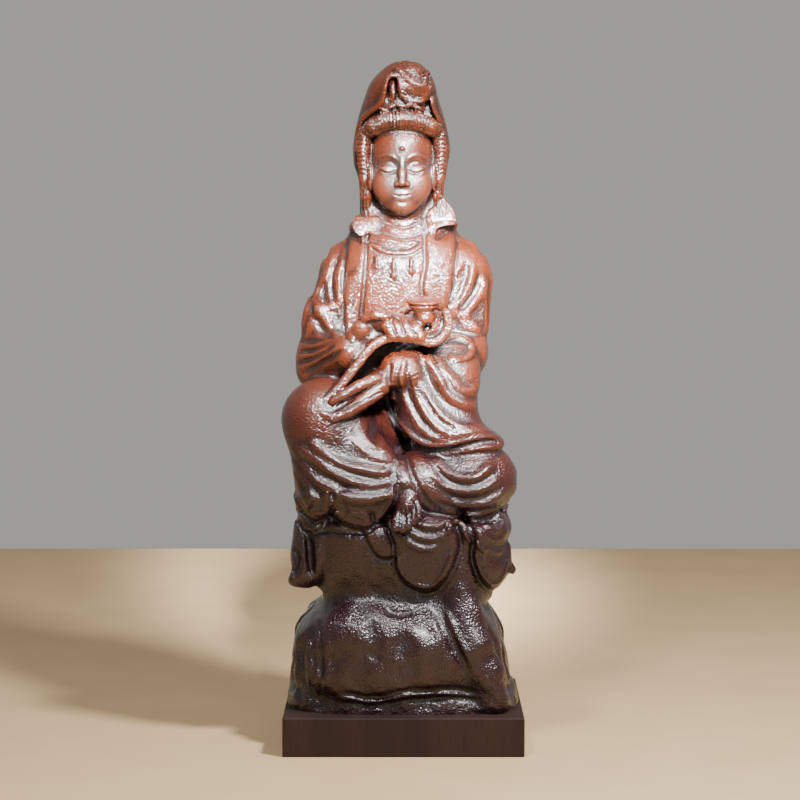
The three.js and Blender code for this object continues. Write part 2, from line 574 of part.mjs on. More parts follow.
function skin([x0, x1, y0, y1, z0, z1], cell) {
  const [nx, ny, nz] = [x1 - x0, y1 - y0, z1 - z0].map((length) => Math.ceil(length / cell) + 1);
  const values = new Float32Array(nx * ny * nz);
  const at = (i, j, k) => field(x0 + i * cell, y0 + j * cell, z0 + k * cell) || 1e-6;
  // blocks of cubes that lie far from the surface take the value at their middle
  for (let k = 0; k < nz; k += BLOCK) {
    for (let j = 0; j < ny; j += BLOCK) {
      for (let i = 0; i < nx; i += BLOCK) {
        const middle = at(i + (BLOCK - 1) / 2, j + (BLOCK - 1) / 2, k + (BLOCK - 1) / 2);
        const far = Math.abs(middle) > 2 * BLOCK * cell;
        for (let c = k; c < Math.min(k + BLOCK, nz); c++) {
          for (let b = j; b < Math.min(j + BLOCK, ny); b++) {
            for (let a = i; a < Math.min(i + BLOCK, nx); a++) {
              values[a + nx * (b + ny * c)] = far ? middle : at(a, b, c);
            }
          }
        }
      }
    }
  }
  const offset = [0, 1, 2, 3, 4, 5, 6, 7].map((c) => (c & 1) + nx * ((c >> 1) & 1) + nx * ny * (c >> 2));
  const direction = new Map(offset.map((step, c) => [step, c]));
  const made = new Map();
  const points = [];
  const triangles = [];
  const place = (n) => [n % nx, Math.floor(n / nx) % ny, Math.floor(n / (nx * ny))];
  const crossing = (a, b) => {
    const [low, high] = a < b ? [a, b] : [b, a];
    const key = low * 8 + direction.get(high - low);
    if (!made.has(key)) {
      const t = clamp(values[low] / (values[low] - values[high]), 0.04, 0.96);
      const [p, q] = [place(low), place(high)];
      made.set(key, points.length / 3);
      points.push(...[x0, y0, z0].map((o, m) => o + cell * (p[m] + t * (q[m] - p[m]))));
    }
    return made.get(key);
  };
  const face = (a, b, c, flip) => triangles.push(...(flip ? [a, c, b] : [a, b, c]));
  const divide = (base) => AXES.forEach(([a, b], turn) => {
    const corners = [0, a, a | b, 7].map((c) => base + offset[c]);
    const sign = corners.map((c) => (values[c] < 0 ? 0 : 1));
    const order = [0, 1, 2, 3].sort((m, n) => sign[m] - sign[n] || m - n);
    const count = sign.filter((v) => v === 0).length;
    if (count === 0 || count === 4) return;
    let flip = turn >= 3;
    for (let m = 0; m < 4; m++) for (let n = m + 1; n < 4; n++) if (order[m] > order[n]) flip = !flip;
    const [p, q, r, s] = order.map((m) => corners[m]);
    if (count === 1) face(crossing(p, q), crossing(p, r), crossing(p, s), flip);
    if (count === 3) face(crossing(p, s), crossing(q, s), crossing(r, s), flip);
    if (count === 2) {
      face(crossing(p, r), crossing(p, s), crossing(q, s), flip);
      face(crossing(p, r), crossing(q, s), crossing(q, r), flip);
    }
  });
  for (let k = 0; k < nz - 1; k++) {
    for (let j = 0; j < ny - 1; j++) {
      for (let i = 0; i < nx - 1; i++) {
        const base = i + nx * (j + ny * k);
        let inside = 0;
        for (let c = 0; c < 8; c++) inside += values[base + offset[c]] < 0 ? 1 : 0;
        if (inside > 0 && inside < 8) divide(base);
      }
    }
  }
  return meshOf(new Float32Array(points), triangles);
}

function meshOf(points, triangles) {
  const geometry = new THREE.BufferGeometry();
  geometry.setAttribute("position", new THREE.BufferAttribute(points, 3));
  geometry.setIndex(triangles instanceof Uint32Array ? new THREE.BufferAttribute(triangles, 1) : triangles);
  return geometry;
}

// The largest shell of a mesh, found by walking from triangle to triangle across shared edges:
// crumbs of wood and sealed hollows are left out.
function largestShell(geometry) {
  const index = geometry.index.array;
  const edgeOf = (a, b) => a * 2 ** 24 + b;
  const owner = new Map();
  for (let i = 0; i < index.length; i++) {
    const next = i % 3 === 2 ? i - 2 : i + 1;
    owner.set(edgeOf(index[i], index[next]), i - (i % 3));
  }
  const seen = new Uint8Array(index.length);
  let largest = [];
  for (let first = 0; first < index.length; first += 3) {
    if (seen[first]) continue;
    const shell = [first];
    seen[first] = 1;
    for (let n = 0; n < shell.length; n++) {
      const [a, b, c] = index.subarray(shell[n], shell[n] + 3);
      for (const edge of [edgeOf(b, a), edgeOf(c, b), edgeOf(a, c)]) {
        const next = owner.get(edge);
        if (seen[next]) continue;
        seen[next] = 1;
        shell.push(next);
      }
    }
    if (shell.length > largest.length) largest = shell;
  }
  const from = geometry.attributes.position.array;
  const renumbered = new Map();
  const points = [];
  const kept = largest.flatMap((first) => [...index.subarray(first, first + 3)]).map((v) => {
    if (!renumbered.has(v)) {
      renumbered.set(v, renumbered.size);
      points.push(from[3 * v], from[3 * v + 1], from[3 * v + 2]);
    }
    return renumbered.get(v);
  });
  return meshOf(new Float32Array(points), new Uint32Array(kept));
}

const wasm = await Module();
wasm.setup();

function solidOf(geometry) {
  return new wasm.Manifold(new wasm.Mesh({
    numProp: 3,
    vertProperties: new Float32Array(geometry.attributes.position.array),
    triVerts: new Uint32Array(geometry.index.array),
  }));
}

const fine = skin([-94, 94, -84, 84, 8, HEIGHT + 6], CELL);
const spare = fine.attributes.position.count - FACETS / 2;
const sculpted = solidOf(await new SimplifyModifier().modify(fine, Math.round(spare)));

// Plinth: the foot of the block, left square
const { width, depth, height } = PLINTH;
const slab = new THREE.BoxGeometry(width, depth, height).translate(0, 0, height / 2);
slab.deleteAttribute("normal");
slab.deleteAttribute("uv");

const whole = sculpted.add(solidOf(mergeVertices(slab, 1e-4))).getMesh();
const geometry = largestShell(meshOf(whole.vertProperties, whole.triVerts));
geometry.computeVertexNormals();

// where two surfaces meet in a point, each draws back from it a little
const TOUCH_GAP = 0.05;
const { position, normal } = geometry.attributes;
const first = new Map();
for (let i = 0; i < position.count; i++) {
  const spot = [position.getX(i), position.getY(i), position.getZ(i)].map((v) => v.toFixed(2)).join();
  const twins = first.has(spot) ? [first.get(spot), i] : [];
  if (!twins.length) first.set(spot, i);
  for (const twin of twins) {
    const [p, n] = [position, normal].map((a) => new THREE.Vector3().fromBufferAttribute(a, twin));
    position.setXYZ(twin, ...p.addScaledVector(n, -TOUCH_GAP));
  }
}

const rosewood = new THREE.MeshStandardMaterial({ color: 0x5a2d1c, roughness: 0.38, metalness: 0 });
const carving = new THREE.Mesh(geometry, rosewood);
carving.name = "guanyin_carving";

const group = new THREE.Group();
group.add(carving);
export default group;
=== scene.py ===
# A hooded guanyin figure seated at ease on a rock, with a ruyi sceptre in both hands.
# Figure, rock and plinth are one upright block of rosewood: carved, stippled, waxed and polished.
import math

import bmesh
import bpy
import numpy as np
from mathutils import Euler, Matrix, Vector


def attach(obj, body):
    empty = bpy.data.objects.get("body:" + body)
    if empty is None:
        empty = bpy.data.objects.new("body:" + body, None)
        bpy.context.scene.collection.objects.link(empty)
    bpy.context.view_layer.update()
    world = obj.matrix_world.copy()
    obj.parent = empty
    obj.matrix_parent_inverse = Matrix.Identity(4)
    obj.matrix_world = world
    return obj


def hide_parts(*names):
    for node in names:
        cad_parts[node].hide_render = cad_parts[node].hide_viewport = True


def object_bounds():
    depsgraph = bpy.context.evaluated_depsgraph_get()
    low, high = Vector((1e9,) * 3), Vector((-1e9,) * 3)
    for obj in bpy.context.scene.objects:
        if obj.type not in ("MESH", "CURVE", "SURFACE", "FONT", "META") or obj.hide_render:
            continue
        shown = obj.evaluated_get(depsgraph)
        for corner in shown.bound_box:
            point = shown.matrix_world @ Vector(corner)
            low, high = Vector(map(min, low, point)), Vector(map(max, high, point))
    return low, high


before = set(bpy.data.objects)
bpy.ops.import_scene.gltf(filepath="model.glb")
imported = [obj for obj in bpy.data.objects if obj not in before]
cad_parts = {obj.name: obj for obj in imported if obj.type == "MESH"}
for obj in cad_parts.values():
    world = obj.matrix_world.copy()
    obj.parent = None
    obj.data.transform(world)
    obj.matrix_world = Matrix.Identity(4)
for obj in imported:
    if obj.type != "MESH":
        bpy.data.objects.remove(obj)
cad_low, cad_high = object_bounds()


# The rock
# The block is first roughed out into masses that run into each other. Its foot is a rock with a
# narrow waist, boulders bulging at the front, and deep clefts beside the buttress on the right.

# The wood is kept as carving steps in their order. Each step has the box that it reaches, and turns
# the depth at some points (millimetres, negative inside the wood) into a new depth.
OUTSIDE = 60.0
MARGIN = 4
steps = []


def ease(t):
    """From 0 to 1 with a soft start and end."""
    return t * t * (3 - 2 * t)


def soft_min(a, b, k):
    """The smaller of two depths, run together where they differ by less than k."""
    h = np.maximum(k - np.abs(a - b), 0) / k
    return np.minimum(a, b) - h * h * k / 4


def box_of(points, by):
    points = np.asarray(points, float)
    return points.min(0) - by, points.max(0) + by


def step(low, high, carve):
    steps.append(((*map(float, low), *map(float, high)), carve))


def add(shape, blend):
    (low, high), near = shape
    reach = blend + MARGIN
    step(low - reach, high + reach, lambda f, p: soft_min(f, near(p), blend))


def cut(shape, blend):
    (low, high), near = shape
    reach = blend + MARGIN
    step(low - reach, high + reach, lambda f, p: -soft_min(-f, near(p), blend))


def wood(points):
    """Depth of the wood at the points, in millimetres, negative inside."""
    f = np.full(len(points), OUTSIDE)
    x, y, z = points.T
    (x0, y0, z0), (x1, y1, z1) = points.min(0).tolist(), points.max(0).tolist()
    for (a0, b0, c0, a1, b1, c1), carve in steps:
        if a0 > x1 or b0 > y1 or c0 > z1 or a1 < x0 or b1 < y0 or c1 < z0:
            continue
        reached = np.flatnonzero((x > a0) & (x < a1) & (y > b0) & (y < b1) & (z > c0) & (z < c1))
        if len(reached):
            f[reached] = carve(f[reached], points[reached])
    return f


def egg(centre, radii, turn=(0, 0, 0)):
    """An ellipsoid, turned by degrees about x, then y, then z."""
    centre, radii = np.array(centre, float), np.array(radii, float)
    turned = np.array(Euler(np.radians(turn), "XYZ").to_matrix())
    reach = radii.max() if any(turn) else radii

    def near(p):
        local = (p - centre) @ turned / radii
        k0 = np.sqrt((local ** 2).sum(1)) + 1e-9
        k1 = np.sqrt(((local / radii) ** 2).sum(1)) + 1e-9
        return k0 * (k0 - 1) / k1

    return (centre - reach, centre + reach), near


def limb(a, b, ra, rb=None):
    """A round limb from a to b whose radius runs from ra to rb."""
    rb = ra if rb is None else rb
    a, along = np.array(a, float), np.subtract(b, a)

    def near(p):
        g = p - a
        t = np.clip(g @ along / (along @ along), 0, 1)
        return np.linalg.norm(g - t[:, None] * along, axis=1) - (ra + t * (rb - ra))

    return box_of([a, b], max(ra, rb)), near


def chain(points, blend):
    """Limbs through the points, each given as x, y, z and radius."""
    for a, b in zip(points, points[1:]):
        add(limb(a[:3], b[:3], a[3], b[3]), blend)


def column(levels, power):
    """A column with its left, right, front and back given at each level, rounded between them."""
    levels = np.array(levels, float)
    z, sides = levels[:, 0], levels[:, 1:]
    before, after = np.maximum(np.arange(len(z)) - 1, 0), np.minimum(np.arange(len(z)) + 1, len(z) - 1)
    slope = (sides[after] - sides[before]) / (z[after] - z[before])[:, None]

    def near(p):
        i = np.searchsorted(z[1:-1], p[:, 2])
        rise = (z[i + 1] - z[i])[:, None]
        t = np.clip((p[:, 2] - z[i])[:, None] / rise, 0, 1)
        bend = rise * t * (1 - t) * ((1 - t) * slope[i] - t * slope[i + 1])
        left, right, front, back = (sides[i] + ease(t) * (sides[i + 1] - sides[i]) + bend).T
        hx, hy = (right - left) / 2, (back - front) / 2
        u = np.abs(p[:, 0] - (left + right) / 2) / hx
        v = np.abs(p[:, 1] - (front + back) / 2) / hy
        q = (u ** power + v ** power) ** (1 / power) + 1e-9
        steep = np.hypot((u / q) ** (power - 1) / hx, (v / q) ** (power - 1) / hy)
        side = (q - 1) / np.maximum(steep, 1e-6)
        return np.maximum(side, np.maximum(z[0] - p[:, 2], p[:, 2] - z[-1]))

    low = (sides[:, 0].min(), sides[:, 2].min(), z[0])
    high = (sides[:, 1].max(), sides[:, 3].max(), z[-1])
    return (np.array(low), np.array(high)), near


# levels: height, left, right, front, back
add(column([
    (14, -86, 86, -62, 71), (31, -86, 85, -62, 70), (42, -84.5, 81.5, -60, 70), (56, -83, 77.5, -65, 69),
    (70, -81, 74, -67, 68), (82, -79, 71, -66, 66), (94, -70, 66, -61, 61), (103, -61, 62, -54, 57),
    (110, -60, 67, -50, 56), (118, -64, 71, -50, 57), (130, -70, 74, -54, 62), (148, -73, 72, -57, 65),
    (160, -74, 76, -58, 63), (168, -68, 73, -54, 58)], 3.6), 1)
add(limb((73, -22, 142), (79.5, -24, 127), 5, 2.4), 3)
add(egg((-30, -50, 86), (32, 20, 18), (24, 0, 0)), 12)
add(egg((4, -50, 70), (36, 19, 26), (14, 0, 0)), 12)
add(egg((-18, -53, 54), (46, 15, 18)), 10)
chain([(38, -40, 126, 11), (45, -46, 98, 11), (51, -51, 76, 12), (60, -51, 56, 11), (66, -52, 36, 11)], 9)
add(egg((-34, 50, 74), (42, 20, 28), (0, 12, 0)), 10)
add(egg((36, 50, 60), (38, 19, 32), (0, -14, 0)), 10)
add(egg((58, 22, 70), (16, 36, 22), (14, 0, 0)), 8)
add(egg((-62, 24, 58), (19, 38, 30), (-12, 0, 0)), 8)
cut(limb((31, -74, 102), (42, -80, 64), 3, 4), 8)
cut(limb((69, -50, 108), (74, -52, 78), 4, 4), 6)


def hewn(f, p):
    """Uneven flats left by the broad gouge."""
    x, y, z = p.T
    waves = (np.sin(x / 6.1 + 1.3 * np.sin(z / 7.7)) * np.sin(z / 8.3 + y / 9.1 + 0.8 * np.sin(x / 11))
             + 0.5 * np.sin(x / 3.1 + z / 4.3) * np.sin(y / 3.7 - z / 5.9))
    chips = np.sin(x / 1.7 + np.sin(x / 3.7)) * np.sin(y / 2.3 + z / 1.9) * np.clip((36 - z) / 4, 0, 1)
    return f - 0.8 * waves * ease(np.clip((152 - z) / 30, 0, 1)) - 0.7 * chips


step((-96, -92, 30), (96, 82, 152), hewn)


# The legs
# The seated legs under the robe: the left leg lies flat to the right, the right knee is raised on
# the left, and cloth falls from it over the rock's shoulder.
add(egg((0, 22, 190), (74, 40, 36)), 8)
add(egg((0, -14, 184), (60, 40, 26)), 8)
add(egg((52, -34, 197), (30.5, 31, 27)), 6)
add(egg((20, -36, 196), (34, 27, 24), (0, 0, 10)), 8)
add(egg((22, -46, 170), (22, 13, 8)), 5)
KNEE = (-58.5, -38, 240)
add(limb((-18, 12, 206), KNEE, 34, 27.6), 8)
add(limb(KNEE, (-4, -54, 194), 27, 13), 7)
add(limb(KNEE, (-56, -40, 194), 27, 23), 8)
add(egg((-36, -46, 196), (36, 22, 26), (0, 22, 0)), 8)
add(limb((-63, -30, 188), (-66, -28, 140), 11, 13.5), 8)
add(limb((-67, -32, 142), (-71, -34, 126), 10, 7), 6)
chain([(-68, -36, 134, 6), (-77.5, -38, 122.5, 3.6)], 4)


# The trunk and the sleeves
# The upright body with sloping shoulders. The right forearm reaches in to the sceptre's neck, and the
# left one crosses the lap, where its wide sleeve hangs over the thigh.
add(column([
    (178, -70, 66, -20, 60), (196, -70, 65, -20, 60), (216, -65, 58, -16, 58), (240, -62, 54, -14, 56),
    (270, -60, 53, -17, 53), (300, -60, 54, -22, 51), (330, -58, 54, -27, 49), (350, -52, 50, -27, 47),
    (364, -44, 44, -22, 44), (374, -32, 33, -16, 40), (386, -20, 20, -10, 32)], 2.3), 10)
add(limb((-16, 12, 362), (-42.5, 8, 343), 16.5, 18.5), 9)
add(limb((16, 12, 363), (42, 8, 345), 16.5, 19), 9)
add(limb((-43, 7, 343), (-51, 0, 312), 18.5, 20), 8)
add(limb((-51, 0, 312), (-54, 0, 292), 20, 21.5), 8)
add(limb((44, 7, 345), (43, 0, 290), 19.5, 17.5), 8)
add(egg((-64, -6, 272), (14, 18, 13)), 8)
add(limb((-58, -4, 282), (-38, -42, 290), 21, 14), 7)
add(limb((43, -8, 286), (-4, -48, 277), 19, 13), 7)
add(column([
    (214, 16, 62, -52, -14), (221, 6, 73, -60, -8), (227, 1, 71, -61, -5), (235, -2, 60, -60, -4),
    (244, -4, 55, -58, -2),
    (256, -8, 54, -55, 2), (268, -13, 56, -53, 6), (280, -15, 56, -48, 10), (293, 0, 54, -36, 12)],
    2.6), 5)
cut(egg((-14, -62, 246), (8, 26, 19), (0, 24, 0)), 7)


# The hood
# A tall shell of cloth over the head that frames the face and falls to the shoulders. Its rim is
# rolled, and the opening is cut in straight from the front, with a narrow point beside the lappet.
add(column([
    (322, -44, 42, 14, 46), (346, -50, 48, 10, 47), (362, -44, 44, 4, 46), (374, -38, 38, 0, 45),
    (384, -33, 33, -2, 44), (392, -32.5, 31.5, -5, 43.5), (402, -32.5, 29, -7, 43),
    (414, -33.5, 30.5, -9, 43), (425, -36.5, 32.8, -11, 43), (436, -37.6, 34.6, -13, 42.5),
    (448, -36, 33, -15, 41), (460, -33.3, 30, -20, 38), (473, -29, 25.6, -25, 33),
    (484, -24.5, 22.8, -27, 27), (492, -17.5, 18.5, -25, 19), (497, -11, 13.5, -21, 11),
    (499.2, -6, 9, -17, 4), (500, -2, 4.5, -11, -3)], 2.2), 5)


def smooth_line(points, spacing, closed=False):
    """Points evenly spaced along a smooth curve through the given ones."""
    p = np.array(points, float)
    before, after = (p[-1:], p[:2]) if closed else (2 * p[:1] - p[1:2], 2 * p[-1:] - p[-2:-1])
    p = np.concatenate([before, p, after])
    step = np.linalg.norm(np.diff(p, axis=0), axis=1) ** 0.5 + 1e-9
    t = np.linspace(0, 1, 12, endpoint=False)[:, None]
    curve = []
    for i in range(1, len(p) - 2):
        a, b, c = step[i - 1:i + 2]
        leave = (p[i] - p[i - 1]) / a - (p[i + 1] - p[i - 1]) / (a + b) + (p[i + 1] - p[i]) / b
        reach = (p[i + 1] - p[i]) / b - (p[i + 2] - p[i]) / (b + c) + (p[i + 2] - p[i + 1]) / c
        along = p[i] + ease(t) * (p[i + 1] - p[i])
        curve.append(along + b * t * (1 - t) * ((1 - t) * leave - t * reach))
    curve = np.concatenate([*curve, p[-2:-1]])
    run = np.concatenate([[0], np.linalg.norm(np.diff(curve, axis=0), axis=1).cumsum()])
    count = max(3, math.ceil(run[-1] / spacing))
    spots = np.linspace(0, run[-1], count + 1)
    return np.stack([np.interp(spots, run, curve[:, k]) for k in range(p.shape[1])], 1)


def gap_to(line, points):
    """Distance from points in a plane to a line of points."""
    start, along = line[:-1], np.diff(line, axis=0)
    g = points[:, None] - start
    t = np.clip((g * along).sum(2) / (along ** 2).sum(1), 0, 1)
    return np.sqrt(((g - t[..., None] * along) ** 2).sum(2).min(1))


# the shoulders under the veil's ends
for s in (-1, 1):
    add(egg((s * 24, 3.5, 382), (10, 9, 11), (0, s * -16, 0)), 8)

# The carving in relief is drawn on an upright plane as across and height, and carried onto the wood
# along lines from a distant point. A view is that point, the axis it looks along, and the plane.
FRONT = ((0, -1786, 395), 1, -48)
BACK = ((0, 1786, 395), 1, 48)
HER_LEFT = ((1786, 0, 395), 0, 60)
HER_RIGHT = ((-1786, 0, 395), 0, -60)
# how deep the relief reaches, and the distances from the plane at which the skin is looked for
SKIN_DEEP = 10
MARCH = np.arange(-50.0, 63, 2)


def sight(view, line):
    """A drawn line's points on their plane, and the directions in which they are seen."""
    eye, axis, plane = view
    line = np.asarray(line, float)
    p = np.full((len(line), 3), float(plane))
    p[:, 1 - axis], p[:, 2] = line[:, 0], line[:, 1]
    d = p - eye
    return p, d / np.linalg.norm(d, axis=1)[:, None]


def on_wood(view, lines):
    """Each drawn line laid on the wood; points that miss it are dropped."""
    p, d = sight(view, np.concatenate(lines))
    spots = p[:, None] + MARCH[:, None] * d[:, None]
    depth = wood(spots.reshape(-1, 3)).reshape(len(p), -1)
    first = np.maximum((depth <= 0).argmax(1), 1)
    rows = np.arange(len(p))
    before, after = depth[rows, first - 1], depth[rows, first]
    share = np.clip(before / (before - after + 1e-9), 0, 1)
    laid = p + (MARCH[first - 1] + share * (MARCH[1] - MARCH[0]))[:, None] * d
    hit = (depth <= 0).any(1)
    cuts = np.cumsum([len(line) for line in lines])[:-1]
    return [spot[ok] for spot, ok in zip(np.split(laid, cuts), np.split(hit, cuts))]


def rounded(r):
    """A ridge's height at a share of its squared half width."""
    return np.maximum(1 - r, 0)


def crested(r):
    """The same with a sharper crest."""
    return np.maximum(1 - np.sqrt(r), 0) ** 1.4


# in millimetres and shares: points along a line, push left at its ends, reach past half the width
SPACING, LEFT_AT_END, REACH = 2.5, 0.15, 1.6
ALONG_LOOK = 0.85


def press(lines, width, height, fade=0.25, shape=rounded, view=FRONT):
    """Ridges (height above zero) or grooves (below zero) along lines, running out at both ends."""
    drawn = [smooth_line(line, SPACING) for line in lines]
    half = width / 2
    for line, spots in zip(drawn, on_wood(view, drawn)):
        if len(spots) > 1:
            from_end = np.minimum(np.arange(len(spots)), np.arange(len(spots))[::-1]) / (len(spots) - 1)
            push = height * ease(np.clip(from_end / fade + LEFT_AT_END, 0, 1))
            look = sight(view, line[:1])[1][0]
            step(*box_of(spots, half * REACH), ridge(spots, push, look, half, shape))


def ridge(spots, push, look, half, shape):
    """Pushes the skin out round a line; distance along the look hardly counts."""
    start, along = spots[:-1], np.diff(spots, axis=0)
    length2 = (along ** 2).sum(1) + 1e-9

    def carve(f, p):
        g = p[:, None] - start
        t = np.clip(np.einsum("ijk,jk->ij", g, along) / length2, 0, 1)
        g -= t[..., None] * along
        gap = (g ** 2).sum(2) - ALONG_LOOK * (g @ look) ** 2
        i = gap.argmin(1)
        rows = np.arange(len(p))
        strength = push[i] + t[rows, i] * (push[i + 1] - push[i])
        pressed = f - strength * shape(np.maximum(gap[rows, i], 0) / half ** 2)
        return np.where(np.abs(f) < SKIN_DEEP, pressed, f)

    return carve


def drawn_at(view, p):
    """Where the points are on the drawing."""
    eye, axis, plane = view
    k = (plane - eye[axis]) / (p[:, axis] - eye[axis])
    return np.stack([p[:, 1 - axis] * k, eye[2] + (p[:, 2] - eye[2]) * k], 1)


def from_outline(line, flat):
    """Distance to an outline on the drawing, negative inside it."""
    q, r, b = line[1:], line[:-1], flat[:, 1:2]
    crossed = (q[:, 1] > b) != (r[:, 1] > b)
    side = (r[:, 0] - q[:, 0]) * (b - q[:, 1]) / (r[:, 1] - q[:, 1] + 1e-12) + q[:, 0]
    inside = (crossed & (flat[:, :1] < side)).sum(1) % 2 == 1
    return gap_to(line, flat) * np.where(inside, -1, 1)


def mortise(outline, floor, blend):
    """A straight-sided hole cut in from the front, down to a floor."""
    line = smooth_line(outline, 3, True)
    (a0, b0), (a1, b1) = line.min(0), line.max(0)

    def near(p):
        return np.maximum(from_outline(line, drawn_at(FRONT, p)), p[:, 1] - floor)

    cut(((np.array([a0 - 2, -90, b0 - 2]), np.array([a1 + 2, floor, b1 + 2])), near), blend)


press([
    ((-34, 420), (-34, 437), (-32.5, 450), (-29, 457), (-24, 461.5), (-18.5, 465.5), (-15, 471),
     (-13.5, 479), (-11.5, 485.5), (-8, 488), (-4, 487)),
    ((29, 412), (29.5, 428), (28.5, 442), (26, 453), (23, 460), (20.5, 467), (21, 474))], 5, 2.2, 0.08)
press([((-6, 494), (0, 488.5), (6, 483), (12, 480), (18, 479))], 8, 2.6, 0.2, crested)
mortise(((-11.5, 480), (-10, 484.5), (-7.5, 486), (-4.5, 485.5), (-3.4, 480), (-2.4, 473), (2, 468.6),
         (8, 467.6), (14, 467.8), (18, 470), (20, 464), (23.5, 456), (26.4, 446), (27.5, 432),
         (27, 414), (26, 398), (23, 388), (0, 384), (-24, 388), (-28, 398), (-29, 412), (-31.5, 424),
         (-32, 438), (-30.5, 449), (-27, 455.5), (-22, 459.5), (-17, 463.5), (-13.5, 469)), -4, 1)


BEND_BACK = 6


def flap(outline, front, back):
    """A flat end of the veil's cloth that bends back towards its top."""
    line = smooth_line(outline, 1.5, True)
    (a0, b0), (a1, b1) = line.min(0), line.max(0)

    def near(p):
        face = front + BEND_BACK * ((p[:, 2] - b0) / (b1 - b0)) ** 2 - p[:, 1]
        return np.maximum(from_outline(line, drawn_at(FRONT, p)), np.maximum(face, p[:, 1] - back))

    add(((np.array([a0 - 2, front, b0 - 2]), np.array([a1 + 2, back, b1 + 2])), near), 2.6)


flap(((-34.2, 387), (-25, 386.4), (-16.5, 387.6), (-15.5, 379), (-21, 376), (-28, 374), (-35, 376.6),
      (-36.4, 381)), -10.5, 12)
flap(((27.5, 401), (33, 395), (37.3, 388), (37, 381.8), (31, 380.6), (25.5, 379), (20.5, 374.6),
      (17.5, 381), (17.6, 390), (22, 394)), -11, 12)


# The head
# A smooth oval face, bent a little down: brow, sockets with closed lids, straight nose, small mouth
# and full chin, and the round mark on the brow. The neck below it has soft rings. The middle of the
# head lies 1 mm to her right.
chain([(0, 6, 362, 22), (0, 4, 396, 14.5)], 6)
add(egg((-1, -1, 424), (23, 29.5, 34)), 2)
add(egg((-1, -6, 438), (20.5, 23.5, 19)), 6)
add(egg((-1, -10, 408), (19.2, 20, 19.5), (8, 0, 0)), 8)
add(egg((-1, -20.5, 395), (8, 8.5, 6.5)), 7)
for s in (-1, 1):
    add(egg((s * 11 - 1, -18.8, 409.5), (9.5, 10, 11)), 6)
    x = s * 9.6 - 1
    cut(egg((x, -33.4, 422.4), (8.6, 5.6, 5.4), (0, s * 6, 0)), 5)
    add(egg((x, -22.8, 420.8), (7.4, 6.4, 5), (0, s * 4, 0)), 1)
chain([(-1, -28.2, 427, 1.6), (-1, -31.2, 418, 1.9), (-1, -33.8, 411.4, 2.9)], 3)
for s in (-1, 1):
    add(egg((s * 3.6 - 1, -31, 410.2), (2.4, 3, 2.1)), 1.6)
    add(egg((s * 2.3 - 1, -27.8, 403), (4.2, 2.6, 1.7), (0, s * 8, 0)), 2.4)
add(egg((-1, -27.5, 400.3), (4.8, 2.7, 2)), 2)
add(egg((-1, -30.2, 436), (1.6, 1.7, 1.6)), 0.4)


# The hair
# Combed up from the brow into a thick roll and back under the hood, with wavy locks beside the
# temples and long ears under them. The strands themselves are scored in below.
ROLL = ((0, -24, 456.8, 8), (11, -22, 456, 7.8), (19.5, -17, 452.5, 7), (26, -10, 447.5, 5.4))
for s in (-1, 1):
    chain([(s * x - 1, y, z, r) for x, y, z, r in ROLL], 1.5)
add(egg((-1, -12, 467), (17, 12, 12)), 3)
for s in (-1, 1):
    x = s * 26.8 - 1
    chain([(x, -9, 445, 5), (x + s * 1.4, -8, 436, 5), (x + s * 1, -7, 425, 4.8),
           (x, -6, 414, 4.4), (x - s * 0.4, -4, 402, 3.8), (x - s, 4, 388, 3)], 1.5)
    add(egg((x - s * 3.6, -10.5, 415.5), (2.4, 4.4, 10), (6, 0, 0)), 1)


# The hood's lappet
# A tab of the hood's cloth folded down over the hair beside a curl, and a leafy jewel under it. Like
# all the cloth it is wood, raised by its thickness and undercut along its hem.
HEM_EDGE, HEM_ROUND, HEM_REACH = 1.2, 2.6, 5
UNDERCUT, UNDERCUT_HALF = 2.2, 1.8
END_FADE = 10


def lap(outline, rise, depth=(-90, 30), dig=None, run_out=9, view=FRONT):
    """Cloth inside an outline: raised by its thickness, cut under its hem, running out at its top."""
    dig = rise * 0.6 if dig is None else dig
    line = smooth_line(outline, 3, True)
    (a0, low), (a1, top) = line.min(0), line.max(0)
    corners = np.array([(a0 - 9, depth[0], low - 12), (a1 + 9, depth[1], top + 6)])
    if view[1] == 0:
        corners = corners[:, [1, 0, 2]]

    def carve(f, p):
        flat = drawn_at(view, p)
        gap = from_outline(line, flat)
        raised = rise * ease(np.clip((HEM_EDGE - gap) / HEM_ROUND, 0, 1))
        groove = dig * np.maximum(0, 1 - ((gap - UNDERCUT) / UNDERCUT_HALF) ** 2)
        along = p[:, view[1]]
        near_end = np.minimum(along - depth[0], depth[1] - along)
        change = (raised - groove) * ease(np.clip((top - flat[:, 1]) / run_out, 0, 1))
        change *= ease(np.clip(near_end / END_FADE, 0, 1))
        return np.where((np.abs(f) < SKIN_DEEP) & (gap < HEM_REACH), f - change, f)

    step(corners[0], corners[1], carve)


LAPPET = ((-3.4, 487), (-4, 479.5), (-2.6, 472.5), (2.3, 468), (8, 466.8), (14.4, 467.6), (17.5, 471.5),
          (20, 476.5), (20.8, 483), (14, 489))
lap(LAPPET, 2.6, (-60, 0), 0.6, 12)
press([((15.5, 481), (16, 487), (18.5, 491.5), (21.5, 488), (21.5, 480), (20, 474))], 3.4, 2, 0.1)
press([((18.4, 489), (18.6, 483.5), (17.6, 478))], 3.2, -2.6, 0.3)
press([((0, 477), (6, 472.5), (14, 472))], 6, -0.8, 0.3)
add(egg((-8, -20, 478), (2.6, 5, 8.5), (-14, 0, 8)), 1.5)
add(limb((-5, -20, 470), (0, -22, 466), 2, 1.6), 1)
for x, z, lean in ((-14, 463, 35), (-8.5, 466, -28), (-2, 466.5, 20), (3.5, 467, -35), (9.5, 465.5, 25)):
    add(egg((x, -27.5 + abs(x) * 0.2, z), (4.2, 3, 2), (0, lean, 0)), 0.8)


